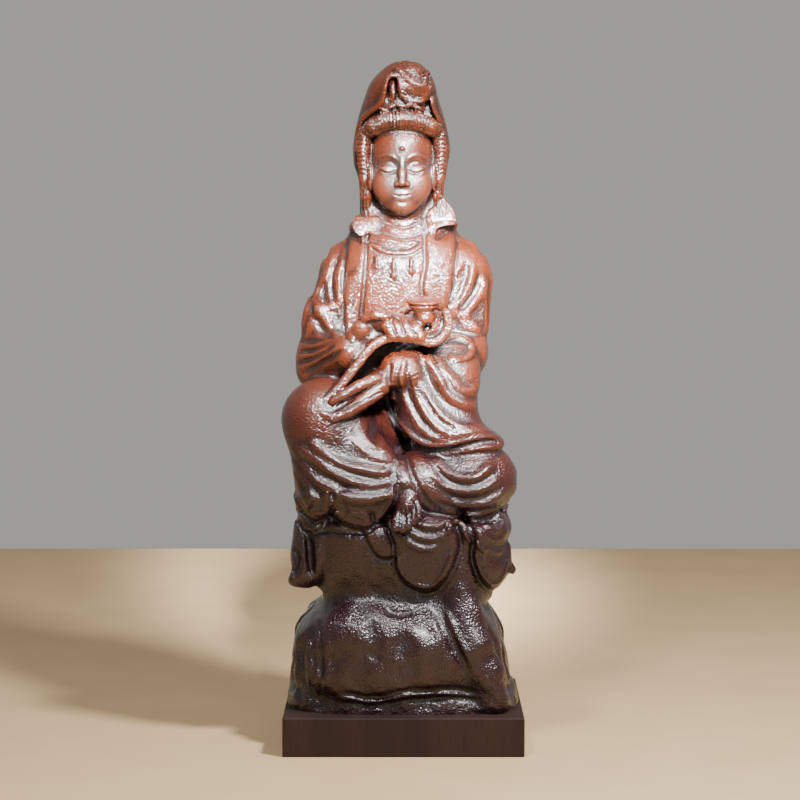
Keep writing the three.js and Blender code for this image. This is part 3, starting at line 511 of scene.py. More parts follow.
# The robe
# Folds, hems and bands are worked into the surface after the masses: crests where the cloth bunches,
# grooves where it turns under, and hems raised by the cloth's thickness with a cut below them.
def between(first, last, count):
    """Lines in step from a first one to a last one."""
    a, b = (smooth_line(line, 1) for line in (first, last))
    share = np.linspace(0, 1, 7)
    a, b = (np.stack([np.interp(share * (len(q) - 1), np.arange(len(q)), q[:, k]) for k in (0, 1)], 1)
            for q in (a, b))
    return [a + t * (b - a) for t in np.linspace(0, 1, count)]


def folds(first, last, count, width, height, view):
    """Crests in step from a first line to a last one."""
    press(between(first, last, count), width, height, shape=crested, view=view)


# the collar bands that run down over the chest, the veil's ends, the necklace and the neck's rings
CHEST = (-60, 10)
lap(((-36, 376), (-39, 361), (-41.5, 343), (-41.5, 324.5), (-40, 303), (-36.5, 297), (-33.5, 304.5),
     (-32, 320.5), (-30, 339), (-28.5, 364), (-28.5, 378.5)), 1.8, CHEST, 1.6)
lap(((18.5, 375.5), (17.5, 353.5), (15, 333.5), (19, 324.5), (26.5, 320.5), (29.5, 322.5), (33, 337),
     (35, 353.5), (35, 375.5)), 1.8, CHEST, 1.6)
press([((-38, 372), (-28, 368.5), (-17, 369)), ((39, 378.5), (30, 375), (23, 370))], 4, -1.6, 0.2)
for z, w in ((388, 11), (380, 13), (373, 17)):
    press([((-w - 1, z + 3), (0, z - 1), (w - 1, z + 3))], 3, -1)
press([((-24, 368), (-14, 362), (-4, 361), (6, 362), (15, 368))], 5, 1.4, 0.1)
press([((-24, 365.5), (-14, 360), (-4, 359), (6, 360), (15, 365.5))], 2.4, -1.2, 0.1)
for x, z, drop in ((-19.5, 359, 6), (-7, 357, 11), (5.5, 358, 9)):
    press([((x, z), (x, z - drop))], 2.6, 2.2, 0.1)
    press([((x, z - drop + 1), (x, z - drop - 4))], 4.2, 2.4, 0.5)

# her right sleeve: broad panels between deep creases that gather at the elbow and fan to the cuff
press([
    ((-41, 367.5), (-48, 355), (-52, 339), (-50.5, 327.5), (-45.5, 311), (-41.5, 301.5)),
    ((-55.5, 347), (-57, 335.5), (-54.5, 324.5), (-49.5, 313), (-45.5, 303)),
    ((-58.5, 353), (-64, 337), (-66, 322.5), (-62.5, 313), (-57, 304.5), (-50.5, 300))],
    9, -3.6, shape=crested)
press([
    ((-74.5, 298), (-64, 297.5), (-53, 299.5)),
    ((-77, 290), (-65, 291), (-52, 296.5)),
    ((-77, 281.5), (-64, 285.5), (-49, 295)),
    ((-75, 274.5), (-59, 282), (-43, 292))], 7, -2.8, shape=crested)
press([
    ((-51, 353.5), (-55.5, 340.5), (-52.5, 327), (-47.5, 314)),
    ((-61, 346.5), (-65, 329), (-60.5, 314)),
    ((-45.5, 353.5), (-47.5, 338.5), (-45.5, 324.5))], 9, 1.8)
press([
    ((-76.5, 294), (-65, 294.5), (-53, 297.5)),
    ((-77, 285.5), (-65, 288), (-51, 295.5)),
    ((-76.5, 277.5), (-60.5, 284), (-46, 293))], 6, 1.6)

# her left sleeve: creases from the shoulder, the roll at the elbow, and the deep curves over the lap
press([
    ((42.5, 351), (39.5, 343), (36, 333.5), (31.5, 322)),
    ((45.5, 356.5), (44.5, 344.5), (41.5, 334), (36, 324)),
    ((54.5, 349.5), (52, 336.5), (45.5, 325.5), (39, 317.5)),
    ((33, 306.5), (42.5, 303.5), (53, 302.5), (62.5, 303))], 8, -3.2, shape=crested)
press([
    ((49.5, 356.5), (49.5, 345), (45.5, 335), (38, 324)),
    ((60, 344.5), (56, 332), (48, 322), (40, 314.5))], 8, 1.8)
press([
    ((27.5, 297.5), (34.5, 301), (42.5, 300.5), (48, 296), (49.5, 291.5), (46, 286.5), (39, 285),
     (31, 286.5))], 6, 3, 0.12)
press([
    ((23, 288), (28.5, 277), (35, 269.5), (41, 263), (46.5, 261), (53, 264.5), (56.5, 272)),
    ((14, 288), (20.5, 279), (26.5, 268), (33, 259), (41, 253.5), (46.5, 252), (53, 255), (56, 260.5)),
    ((7, 284), (10.5, 272), (15.5, 261), (21.5, 251.5), (28.5, 243), (37.5, 237), (44.5, 234.5),
     (56.5, 235), (65, 234)),
    ((1, 281.5), (6, 269.5), (9.5, 259), (14, 249), (20.5, 239.5), (27.5, 233.5), (36, 230),
     (46.5, 231), (59, 233), (70, 231.5))], 12, 5.2, 0.2, crested)
press([
    ((-4.5, 279), (-2, 267.5), (1, 256), (5.5, 246), (11, 236.5), (18.5, 230), (28, 226), (41, 225.5)),
    ((17, 288.5), (24.5, 274), (31, 264))], 9, 3.2, 0.2, crested)
press([
    ((-10.5, 274), (-8.5, 265.5), (-7, 255), (-4, 243), (2.5, 232.5), (10, 226), (19, 222.5),
     (32, 222.5), (45.5, 225.5), (59, 228.5), (73.5, 227.5))], 5, 2.6, 0.1)
press([
    ((-12.5, 265.5), (-11.5, 253.5), (-7.5, 240.5), (-1, 230), (7.5, 222), (19, 218.5), (33.5, 219),
     (46, 222), (60, 225), (75, 223.5))], 7, -4.6, 0.1)

# cloth over the front of the rock: the sash end, the wide swag, the hooked fold and the right drape
FOREPART = (-90, -20)
TAB = ((-30, 164), (-28, 159), (-24.5, 151), (-19.5, 143), (-15, 140.5), (-7, 141.5), (-6, 143.5),
       (-8.5, 151.5), (-11, 159), (-13, 165))
lap(TAB, 4, FOREPART, 1, 4)
SWAG = ((-12.5, 169.5), (-10, 159.5), (-6.5, 149.5), (-5.5, 137), (-3.5, 129), (2, 122), (9.5, 117.5),
        (16.5, 115.5), (23, 117.5), (28.5, 123), (34, 131.5), (37.5, 140), (39.5, 148.5), (38.5, 157.5),
        (36, 164), (31.5, 171))
lap(SWAG, 6.4, FOREPART, 1.2)
press([
    ((-4.5, 143.5), (-3.5, 134), (0.5, 127), (7, 121.5), (15.5, 119), (22, 121), (28, 127.5), (33, 138),
     (36, 146.5))], 3.4, 1.8, 0.1)
press([
    ((7.5, 169), (12, 165), (20.5, 163), (27.5, 164.5), (30, 169)),
    ((0.5, 167), (5.5, 159), (13, 155), (21.5, 154), (28.5, 157), (31.5, 162.5)),
    ((-2.5, 159.5), (3, 152.5), (9.5, 148), (17.5, 146.5), (26.5, 149.5))], 7, 3.6, 0.2, crested)
DRAPE = ((44, 174), (49.5, 164), (52.5, 151.5), (51, 143.5), (53, 133), (57, 124.5), (62.5, 118.5),
         (67.5, 117.5), (72.5, 121), (76, 129), (78, 140), (78.5, 151.5), (78, 174))
lap(DRAPE, 5.6, FOREPART, 1.2)
press([
    ((33, 156.5), (33.5, 163), (37.5, 167), (41.5, 165.5), (44.5, 159), (49, 151)),
    ((41.5, 169), (47.5, 161), (52, 152.5), (57, 146.5), (60.5, 146.5))], 5, 4, 0.12)
press([
    ((37.5, 161.5), (40, 157.5), (42.5, 150)),
    ((45.5, 164), (49, 156.5), (52.5, 148.5))], 4, -3, shape=crested)
press([
    ((53, 168.5), (56.5, 161), (62.5, 154), (67.5, 152.5), (72.5, 156), (74.5, 164)),
    ((57.5, 169), (62.5, 162), (67.5, 160.5), (71.5, 163), (73, 169)),
    ((53.5, 161.5), (57.5, 152.5), (63.5, 146), (69, 144.5), (75, 148)),
    ((57.5, 147.5), (58.5, 141.5), (57, 135.5))], 6, 3, 0.2, crested)
press([
    ((55, 133.5), (59, 125.5), (65, 121), (70, 123), (74, 130.5), (75.5, 140.5))], 3.4, 1.8, 0.1)

# cloth hanging at the rock's left corner, and the drape's pointed tip on the right
lap(((-75, 172.5), (-73, 166), (-70.5, 160.5), (-64, 159.5), (-57.5, 162), (-47.5, 161.5), (-37.5, 161),
     (-25.5, 161.5), (-25.5, 172.5)), 1.6, FOREPART, 2, 4)
press([((-72, 160.5), (-64, 160), (-57.5, 163), (-54.5, 168.5))], 3.6, -2.4, 0.15)
press([((-73, 159), (-73, 150), (-71.5, 135.5), (-67, 125.5), (-63.5, 116))], 5, 2.6, 0.1)
press([((-68.5, 157.5), (-67.5, 145), (-67.5, 133.5), (-68.5, 126))], 8, -4.6, 0.2)
press([((-78, 164), (-78, 152.5), (-75.5, 139.5), (-79.5, 125))], 6, -2.4, 0.2)
press([((-62, 152.5), (-61, 138), (-60.5, 119.5))], 7, 2.2, 0.2)
press([((76.5, 138), (79.5, 131.5), (82, 125))], 6, 3.4, 0.4)

# raised leg: narrow folds that swing from below the knee to the foot, and the rolled hem under them
press([
    ((-69, 225.5), (-62, 220), (-53, 213.5), (-45, 209), (-36.5, 206.5), (-25.5, 204), (-16, 202.5),
     (-8.5, 204)),
    ((-78, 222.5), (-71.5, 217.5), (-63, 211.5), (-54.5, 205.5), (-45, 199.5), (-36.5, 196), (-28, 194),
     (-19.5, 193.5), (-11, 195), (-6, 196.5)),
    ((-65.5, 197), (-60, 194), (-53, 191.5), (-47.5, 187.5), (-40, 184), (-30.5, 183), (-20.5, 184),
     (-13.5, 186.5), (-7.5, 189.5))], 12, 6.2, 0.15, crested)
press([
    ((-82, 222.5), (-75.5, 212.5), (-68.5, 203), (-61, 193.5)),
    ((-82, 216), (-77, 206), (-70.5, 195), (-63.5, 185.5)),
    ((-81.5, 209), (-77, 198.5), (-73.5, 188.5))], 7, 2.2, 0.15, crested)
press([
    ((-29.5, 230.5), (-23, 222.5), (-15, 218), (-7.5, 217)),
    ((-37.5, 227.5), (-27, 217.5), (-15.5, 212.5), (-7, 211.5))], 8, 2.4, shape=crested)
HEM = ((-52, 183.5), (-51, 176), (-49, 170.5), (-44, 166), (-36, 163), (-28, 163), (-19.5, 165.5),
       (-12.5, 171.5), (-8, 179), (-6, 185), (-7, 191.5), (-30, 193))
lap(HEM, 4.6, FOREPART, 1.4)
press([
    ((-43, 169), (-35, 165.5), (-28, 165.5), (-20, 168.5), (-13.5, 174.5), (-9, 182), (-8, 188.5))],
    3.4, 1.4, 0.1)
SMALL_LOBE = ((-75.5, 190), (-73, 180), (-69, 172), (-62.5, 168.5), (-56, 171.5), (-52.5, 177),
              (-53, 183.5), (-56, 190.5))
lap(SMALL_LOBE, 4.2, FOREPART, 1.4)
press([
    ((-57, 189.5), (-52, 183), (-52.5, 177), (-48, 171)),
    ((-68.5, 190.5), (-67, 183.5), (-70, 176))], 5, 3, 0.15)
press([
    ((-45.5, 185.5), (-41.5, 177.5), (-43.5, 169)),
    ((-62.5, 188.5), (-59, 181.5), (-60.5, 175))], 5, -2.6, shape=crested)
press([((-9, 187), (-7.5, 193.5), (-4, 196), (0.5, 195), (3.5, 190.5))], 3, 1.8, 0.1)

# left leg: rings of folds round the knee, opening towards the foot
press([
    ((22, 213.5), (27.5, 206.5), (35, 201), (43, 198.5), (52, 199.5), (59, 204), (65, 211)),
    ((16.5, 213), (20, 203), (26.5, 195), (35, 190.5), (44.5, 188.5), (54, 189.5), (62.5, 193.5),
     (70, 198.5)),
    ((12, 216.5), (13, 206.5), (16.5, 198.5), (21.5, 190), (28.5, 184), (38.5, 179.5), (48, 178.5),
     (59, 180), (67.5, 184), (75.5, 191.5)),
    ((7, 215.5), (9, 204.5), (12, 196), (17.5, 187.5), (23, 181.5), (30, 176.5), (39, 173.5)),
    ((-1, 211.5), (0.5, 203), (4, 196), (8.5, 189.5), (12, 184), (17, 178.5), (24.5, 175))],
    10, 5.6, 0.15, crested)
press([((-4, 208), (-2.5, 200), (1, 192), (5.5, 185.5))], 7, 2.4, shape=crested)
press([((12, 177), (22, 172.5), (36, 170.5), (48, 169.5))], 5, -2, 0.2)
press([((40, 169), (50, 167.5), (62.5, 169), (74.5, 175), (82, 183.5))], 8, -5, 0.2)

# the left corner's cloth as it runs round her right side
CORNER = ((-50, 180), (-52, 150), (-46, 122), (-32, 112), (-14, 120), (2, 113), (16, 130), (22, 180))
lap(CORNER, 3, (-100, -54), view=HER_RIGHT)

# rock: worn ledges, ribs, clefts and the rolling groove along its foot
press([((x, 88), (x + 1, 66), (x - 1, 34)) for x in (-78, -70)], 6, 2)
LEDGE = ((-47, 38), (-36, 37), (-26, 35), (-14, 36), (-2, 39), (14, 40.5), (34, 41), (54, 39))
press([[(x, z + 3) for x, z in LEDGE]], 6, -1.6, 0.12)
press([LEDGE], 2.8, 2, 0.08)
press([[(x, z - 4) for x, z in LEDGE]], 5, -1.2, 0.12)
press([((-61, 100), (-60, 80), (-60, 40))], 5, -2.4, shape=crested)
press([((-56, 98), (-55, 76), (-56, 44))], 6, 1.6, shape=crested)
press([((22, 104), (30, 88), (40, 70), (49, 54))], 10, -2.6)
press([((30, 104), (38, 86), (46, 68), (52, 54))], 7, 2.2, shape=crested)
press([((-30, 92), (-22, 80), (-26, 64)), ((-6, 84), (4, 68), (2, 50))], 18, -2.2)
press([((-14, 102), (-4, 99), (8, 101))], 6, -2.4)
CLEFTS = ((-52, 92, 40, 6), (-22, 84, 34, -7), (4, 96, 52, 5), (30, 78, 32, 6), (56, 90, 44, -5))
for view in (BACK, HER_LEFT, HER_RIGHT):
    press([((a, high), (a + lean, (high + low) / 2), (a, low)) for a, high, low, lean in CLEFTS],
          11, -4, view=view)
    press([((-50, 42), (-20, 37), (8, 43), (30, 38), (52, 41))], 9, -3, view=view)

# back and sides: the veil's point between the shoulders, long folds of the robe, its hem over the rock
VEIL = ((-48, 378), (-52, 340), (-38, 300), (-18, 268), (18, 268), (38, 300), (52, 340), (48, 378))
lap(VEIL, 3, (0, 90), view=BACK)
folds(((-36, 366), (-30, 322), (-12, 276)), ((36, 366), (30, 322), (12, 276)), 5, 12, 3.4, BACK)
folds(((-56, 254), (-24, 230), (0, 224), (24, 230), (54, 254)),
      ((-70, 206), (-34, 184), (0, 176), (34, 184), (68, 206)), 4, 13, 3.8, BACK)
TRAIN = ((-70, 178), (-64, 140), (-44, 128), (-24, 142), (-4, 120), (18, 114), (36, 136), (58, 126),
         (70, 178))
lap(TRAIN, 4, (10, 90), view=BACK)
folds(((-12, 168), (4, 156), (24, 154), (38, 166)),
      ((-16, 148), (4, 132), (24, 128), (38, 146)), 3, 10, 3.4, BACK)
folds(((-58, 166), (-48, 154), (-34, 154)), ((-56, 150), (-46, 139), (-32, 144)), 2, 10, 3, BACK)
for view in (HER_LEFT, HER_RIGHT):
    folds(((-24, 350), (-18, 320), (-12, 296)), ((18, 350), (16, 320), (6, 296)), 4, 9, 3, view)
lap(((-20, 178), (-12, 150), (4, 128), (20, 122), (36, 138), (50, 128), (60, 178)), 3.6, (30, 96),
    view=HER_LEFT)
for view in (HER_LEFT, HER_RIGHT):
    folds(((-30, 216), (-6, 204), (22, 214), (40, 236)),
          ((-40, 190), (-8, 172), (28, 176), (52, 200)), 3, 12, 3.6, view)
press([((-40, 120), (-20, 112), (10, 118), (40, 108))], 10, -3, view=HER_LEFT)
press([((-50, 112), (-20, 106), (16, 110), (50, 104))], 10, -3, view=BACK)


# The sceptre
# A strap of wood that rises round its mushroom head at one end, and runs down over the hands to a
# scroll at the other. Its edges are eased.
def strap(line, thickness, front, back):
    """A bar bent along x, z points, wide in y from front to back, with its edges rounded."""
    round_off = 2

    def near(p):
        side = gap_to(line, p[:, [0, 2]]) - thickness / 2 + round_off
        end = np.maximum(front - p[:, 1], p[:, 1] - back) + round_off
        corner = np.hypot(np.maximum(side, 0), np.maximum(end, 0))
        return np.minimum(np.maximum(side, end), 0) + corner - round_off

    ends = [(x, y, z) for x, z in line for y in (front, back)]
    return box_of(ends, thickness / 2), near


STRAP = ((31, 318), (32.5, 310), (29.5, 303.5), (26, 299.5), (20, 297), (9, 299.4), (-1, 300.6),
         (-10, 300.4), (-18, 297.4), (-25, 291.6), (-31, 284), (-37.5, 275.6), (-44, 267.6), (-51, 259.6))
add(strap(smooth_line(STRAP, 5), 6.4, -62, -38), 1.2)
add(egg((-22, -42, 300), (12, 12, 8)), 4)
add(egg((16, -44, 309), (17, 13.5, 12)), 3)
chain([(14.6, -53, 320, 7.8), (15.6, -54, 315, 6.4), (17, -52, 311, 4.6)], 2)
add(egg((14.6, -52, 323.6), (11, 10, 3), (9, 0, 0)), 2)
add(egg((14.6, -52, 326.4), (12.8, 11.5, 2.8), (9, 0, 0)), 0.8)
cut(limb((17.4, -70, 308), (17.4, -53, 308), 2.8), 1)
chain([(-53, -60, 259, 2.6), (-56.6, -60.5, 255.6, 2.4), (-55.6, -61, 250.4, 2.4),
       (-51, -61.5, 250, 2.2)], 0.6)


# The hands and the foot
# Her right hand closes over the strap from above, and her left hand lies palm up under its tail. The
# bare foot of the raised leg shows under the hem, with its five toes.
add(egg((-11, -48, 311), (15, 11.5, 9), (0, 14, 0)), 4)
for i in range(4):
    x = -12 + i * 6.6
    chain([(x - 3, -52, 313 - i * 0.6, 5), (x + 1, -58.5, 309 - i * 0.8, 4.4),
           (x + 4.6, -60.6, 302.4 - i * 0.3, 3.6)], 2.4)
add(limb((-38, -40, 291), (-30, -50, 307), 9, 7), 4)
chain([(-27, -54, 314.5, 3.8), (-20, -58, 317, 3.6), (-12, -59.5, 315.5, 3.2)], 2)
cut(limb((-26, -66, 307.6), (-18, -66, 306.8), 3.4, 2.8), 1.2)
press([((x - 2, 315), (x + 1, 309), (x + 3.6, 302)) for x in (-9, -2.4, 4.2)], 2.2, -2, 0.15)
add(limb((-10, -48, 272), (-24, -56, 266), 9, 7.4), 4)
add(limb((-16, -57, 266), (-46, -61, 250.6), 7, 4), 2)
chain([(-20, -60, 271, 4.6), (-32, -64, 266.6, 4.2), (-43, -65, 260, 3.6), (-51, -65, 255.6, 3)], 0.8)
for i in range(3):
    y = -65 + i * 5.6
    chain([(-20, y + 6, 262, 6.6), (-30, y + 2, 254.6, 5.6), (-40, y, 247.6, 4.8), (-50, y, 243.6, 4.2),
           (-57.4, y, 246.4 + i, 3)], 0.9)
press([
    ((-12, 270), (-28, 262.5), (-42, 254.6)),
    ((-14, 261.5), (-30, 254), (-45, 247))], 2, -1.6, 0.2)
press([
    ((-9, 282), (-10.5, 271), (-9, 262)),
    ((-3, 283), (-4.5, 272), (-2, 261)),
    ((4, 284), (3, 274), (5, 263))], 6, -2.4, 0.2, crested)
add(egg((2.6, -59, 181), (10, 13.4, 14), (0, 16, 0)), 2)
TOES = ((-5.6, 166, 3.8), (-1, 164.6, 3.2), (3.2, 166.4, 3.1), (7, 169.8, 2.9), (10.4, 174, 2.7))
for x, z, r in TOES:
    chain([(x * 0.75 + 1.2, -67, z + 9, r), (x + 0.5, -71, z + 4, r * 0.92), (x, -72, z, r)], 0.6)


# The fine strokes
# Last come the small gouge and the knife: every strand of the hair, the lids, brows and lips, and the
# lines between fingers and toes.
STRANDS = 33
strands = []
for turn in np.linspace(-74, 74, STRANDS):
    out, up = math.sin(math.radians(turn)), math.cos(math.radians(turn))
    strands.append(((25 * out - 1, 440 + 8.4 * up), (28.5 * out - 1, 442 + 12 * up),
                    (31 * out - 1, 444 + 17 * up), (31.5 * out - 1, 445 + 20.5 * up)))
press(strands, 2.3, -2.1, 0.1)
for s in (-1, 1):
    x = s * 27.6 - 1
    waves = [((x - s * 5, z - 3), (x - s * 1.5, z + 1.4), (x + s * 1.5, z + 2.6), (x + s * 5, z + 1))
             for z in range(415, 450, 3)]
    press(waves, 1.9, -0.6, 0.2)
    falls = [((x + a, 411), (x + a + s, 400), (x + a, 386)) for a in (-4, -1.8, 0.4, 2.6)]
    press(falls, 1.9, -1, 0.15)
    e = s * 9.6 - 1
    lash = ((e - s * 6.2, 420.6), (e - s * 2.6, 418.4), (e + s * 2.2, 418.1), (e + s * 7.4, 420.9))
    press([lash], 1.6, -1, 0.25)
    press([[(a, z + 1.5) for a, z in lash]], 2.2, 0.5, 0.3)
    press([[(a, z - 2) for a, z in lash]], 2.6, 0.4, 0.4)
    crease = ((e - s * 5.8, 422.6), (e - s * 1.5, 426), (e + s * 3, 425.8), (e + s * 6.8, 422.6))
    press([crease], 1.6, -0.6, 0.3)
    brow = ((s * 2.4 - 1, 425.6), (s * 6.4 - 1, 429.6), (s * 12 - 1, 431), (s * 18 - 1, 427.8))
    press([brow], 2.8, 0.9, 0.35, crested)
    press([((s * 5.4 - 1, 412), (s * 6.2 - 1, 410), (s * 5.2 - 1, 408.2))], 1.6, -0.6, 0.4)
    press([((s * 1.4 - 1, 408.4), (s * 3.4 - 1, 408))], 1.6, -0.8, 0.4)
press([((-7.4, 403.2), (-4.4, 401.6), (-1, 402), (2.4, 401.6), (5.4, 403.2))], 1.6, -1.3, 0.3)
press([((-1, 407.6), (-1, 405))], 2.2, -0.5, 0.4)
press([((-4.4, 397.2), (-1, 396.5), (2.4, 397.2))], 3.2, -0.7, 0.4)
press([((x * 0.75 + 0.4, z + 10), (x + 0.4, z + 1)) for x, z in
              zip((-3.2, 1.2, 5.2, 8.8), (167, 167, 169, 172.6))], 1.7, -1.4, 0.2)


# The carving
# The skin of the wood over all those steps. It is found on an even grid of cells, one corner in each
# cell that the skin passes, divided further at the head, hands and foot, and thinned where it is flat.
# It is let down into the plinth a little. No operator makes such a shape, so its faces are made here.
MM = 0.001
PLINTH_TOP = 28
LET_IN = 8
BLOCK_SIDE, COARSE = 24, 8
LOWEST, HIGHEST = (-94, -90, PLINTH_TOP - LET_IN), (94, 80, 504)
FINE_PLACES = (((-40, -50, 340), (40, 10, 502)), ((-64, -80, 238), (36, -34, 334)),
               ((-16, -84, 160), (16, -48, 200)))
CORNERS = np.array([(a, b, c) for a in (0, 1) for b in (0, 1) for c in (0, 1)])
FOOT_GAP = 0.6


def depth_of(points):
    """The wood's depth at many points, worked out block by block and cut off level at its foot."""
    place = np.floor(points / BLOCK_SIDE).astype(int)
    place -= place.min(0)
    key = (place[:, 0] * 100 + place[:, 1]) * 100 + place[:, 2]
    order = np.argsort(key, kind="stable")
    f = np.empty(len(points))
    for block in np.split(order, np.flatnonzero(np.diff(key[order])) + 1):
        f[block] = wood(points[block])
    return np.maximum(f, LOWEST[2] + FOOT_GAP - points[:, 2])


def skin_of(low, high, cell):
    """Corners and four-sided faces of the wood's skin between two corners of a box."""
    low, side = np.array(low, float), cell * COARSE
    count = np.ceil((high - low) / side).astype(int)
    new = np.stack(np.indices(count), -1).reshape(-1, 3)
    while side > cell:
        new = new[np.abs(depth_of(low + (new + 0.5) * side)) < side]
        new = (new[:, None] * 2 + CORNERS).reshape(-1, 3)
        side /= 2
    size = count * COARSE + 1
    stride = np.array([size[1] * size[2], size[2], 1])
    f, number = np.full(size.prod(), np.nan), np.full(size.prod(), -1)
    cells, new = np.empty(0, int), new @ stride
    while len(new):
        wanted = new[:, None] + CORNERS @ stride
        wanted = np.unique(wanted[np.isnan(f[wanted])])
        if len(wanted):
            f[wanted] = depth_of(low + np.stack(np.unravel_index(wanted, size), -1) * cell)
        inner = f[new[:, None] + CORNERS @ stride] < 0
        passed = inner.any(1) & ~inner.all(1)
        number[new] = -2
        new, inner = new[passed], inner[passed]
        number[new] = len(cells) + np.arange(len(new))
        cells = np.concatenate([cells, new])
        beside = []
        for axis in range(3):
            for side in (0, 1):
                face = inner[:, CORNERS[:, axis] == side]
                beside.append(new[face.any(1) & ~face.all(1)] + (2 * side - 1) * stride[axis])
        new = np.unique(np.concatenate(beside))
        new = new[(new >= 0) & (new < len(f))]
        new = new[number[new] == -1]
        new = new[(np.stack(np.unravel_index(new, size), 1) < size - 1).all(1)]
    rings = []
    for axis in range(3):
        u, v, w = stride[axis], stride[axis - 2], stride[axis - 1]
        near, far = f[cells] < 0, f[cells + u] < 0
        rings.append(np.array([0, -v, -v - w, -w]) + cells[near & ~far, None])
        rings.append(np.array([0, -w, -v - w, -v]) + cells[far & ~near, None])
    rings = np.concatenate(rings)
    place = np.stack(np.unravel_index(cells, size), 1)
    depths = f[cells[:, None] + CORNERS @ stride]
    total, crossings = np.zeros((len(cells), 3)), np.zeros(len(cells))
    for a, b in ((a, b) for a in range(8) for b in range(a) if abs(CORNERS[a] - CORNERS[b]).sum() == 1):
        crossed = (depths[:, a] < 0) != (depths[:, b] < 0)
        t = depths[crossed, a] / (depths[crossed, a] - depths[crossed, b])
        total[crossed] += CORNERS[a] + t[:, None] * (CORNERS[b] - CORNERS[a])
        crossings[crossed] += 1
    faces = number[rings]
    return low + (place + total / crossings[:, None]) * cell, faces[(faces >= 0).all(1)]


def in_fine_places(p):
    """Which points lie in the places that are divided further."""
    inside = [((p > low) & (p < high)).all(1) for low, high in FINE_PLACES]
    return np.logical_or.reduce(inside)


def draw_onto_wood(mesh, rounds, chosen):
    """Moves vertices along their normals until they lie on the wood."""
    p, n = (np.empty(len(mesh.vertices) * 3) for _ in range(2))
    mesh.vertices.foreach_get("co", p)
    p = p.reshape(-1, 3) / MM
    chosen = chosen(p)
    nudge, longest, flattest, steepest = 0.2, 1.0, 0.35, 2
    for _ in range(rounds):
        mesh.vertex_normals.foreach_get("vector", n)
        out = n.reshape(-1, 3)[chosen]
        spots = p[chosen]
        f, further = np.split(depth_of(np.concatenate([spots, spots + nudge * out])), 2)
        slope = np.clip((further - f) / nudge, flattest, steepest)
        p[chosen] = spots - np.clip(f / slope, -longest, longest)[:, None] * out
        mesh.vertices.foreach_set("co", (p * MM).ravel())
        mesh.update()


CELL = 1.25
corners, faces = skin_of(LOWEST, HIGHEST, CELL)
carved = bpy.data.meshes.new("guanyin_figure")
carved.from_pydata((corners * MM).tolist(), [], faces.tolist())
figure = bpy.data.objects.new("guanyin_figure", carved)
bpy.context.scene.collection.objects.link(figure)
finer = bmesh.new()
finer.from_mesh(carved)
fine = in_fine_places(corners)
edges = [e for e in finer.edges if fine[e.verts[0].index] and fine[e.verts[1].index]]
bmesh.ops.subdivide_edges(finer, edges=edges, cuts=1, use_grid_fill=True)
finer.to_mesh(carved)
finer.free()
draw_onto_wood(carved, rounds=2, chosen=in_fine_places)
MOST_TRIANGLES = 195000
sides = sum(len(f.vertices) - 2 for f in carved.polygons)
if sides > MOST_TRIANGLES:
    thin = figure.modifiers.new("Thin", "DECIMATE")
    thin.ratio = MOST_TRIANGLES / sides
    figure.data = bpy.data.meshes.new_from_object(
        figure.evaluated_get(bpy.context.evaluated_depsgraph_get()))
    figure.modifiers.clear()
figure.data.shade_smooth()


def mark_hollows(mesh, rounds):
    """Keeps, at each corner, how many millimetres it lies in a hollow; crests are below zero."""
    count = len(mesh.vertices)
    p, n, ends = np.empty(count * 3), np.empty(count * 3), np.empty(len(mesh.edges) * 2, int)
    mesh.vertices.foreach_get("co", p)
    mesh.vertex_normals.foreach_get("vector", n)
    mesh.edges.foreach_get("vertices", ends)
    p, n, (a, b) = p.reshape(-1, 3) / MM, n.reshape(-1, 3), ends.reshape(-1, 2).T
    eased = p.copy()
    links = np.bincount(a, minlength=count) + np.bincount(b, minlength=count)
    for _ in range(rounds):
        for k in range(3):
            now = eased[:, k].copy()
            total = np.bincount(a, now[b], count) + np.bincount(b, now[a], count)
            eased[:, k] = total / np.maximum(links, 1)
    hollow = ((eased - p) * n).sum(1)
    mesh.attributes.new("hollow", "FLOAT", "POINT").data.foreach_set("value", hollow)


mark_hollows(figure.data, rounds=14)


# The wood is dense and red-brown, with a tight upright grain, waxed and rubbed until it shines. The
# tool's fine stipple is left all over it, fainter on the face, which is also less glossy.
def colour(code):
    """An sRGB hex value as linear red, green, blue and full alpha."""
    parts = [int(code[i:i + 2], 16) / 255 for i in (0, 2, 4)]
    return (*[c / 12.92 if c <= 0.04045 else ((c + 0.055) / 1.055) ** 2.4 for c in parts], 1)


def node(tree, kind, inputs=(), **settings):
    """Adds a node with its settings; an input given as a socket is linked, any other is set."""
    made = tree.nodes.new(kind)
    for key, value in settings.items():
        setattr(made, key, value)
    for key, value in dict(inputs).items():
        if isinstance(value, bpy.types.NodeSocket):
            tree.links.new(value, made.inputs[key])
        else:
            made.inputs[key].default_value = value
    return made


RANGE = ("Value", "From Min", "From Max", "To Min", "To Max")


def toned(tree, tone, value, low, high, most, code):
    """A tone turned towards a colour, by a share at most, as a value goes from low to high."""
    share = node(tree, "ShaderNodeMapRange", zip(RANGE, (value, low, high, 0, most))).outputs[0]
    return node(tree, "ShaderNodeMix", {0: share, 6: tone, 7: colour(code)}, data_type="RGBA").outputs[2]


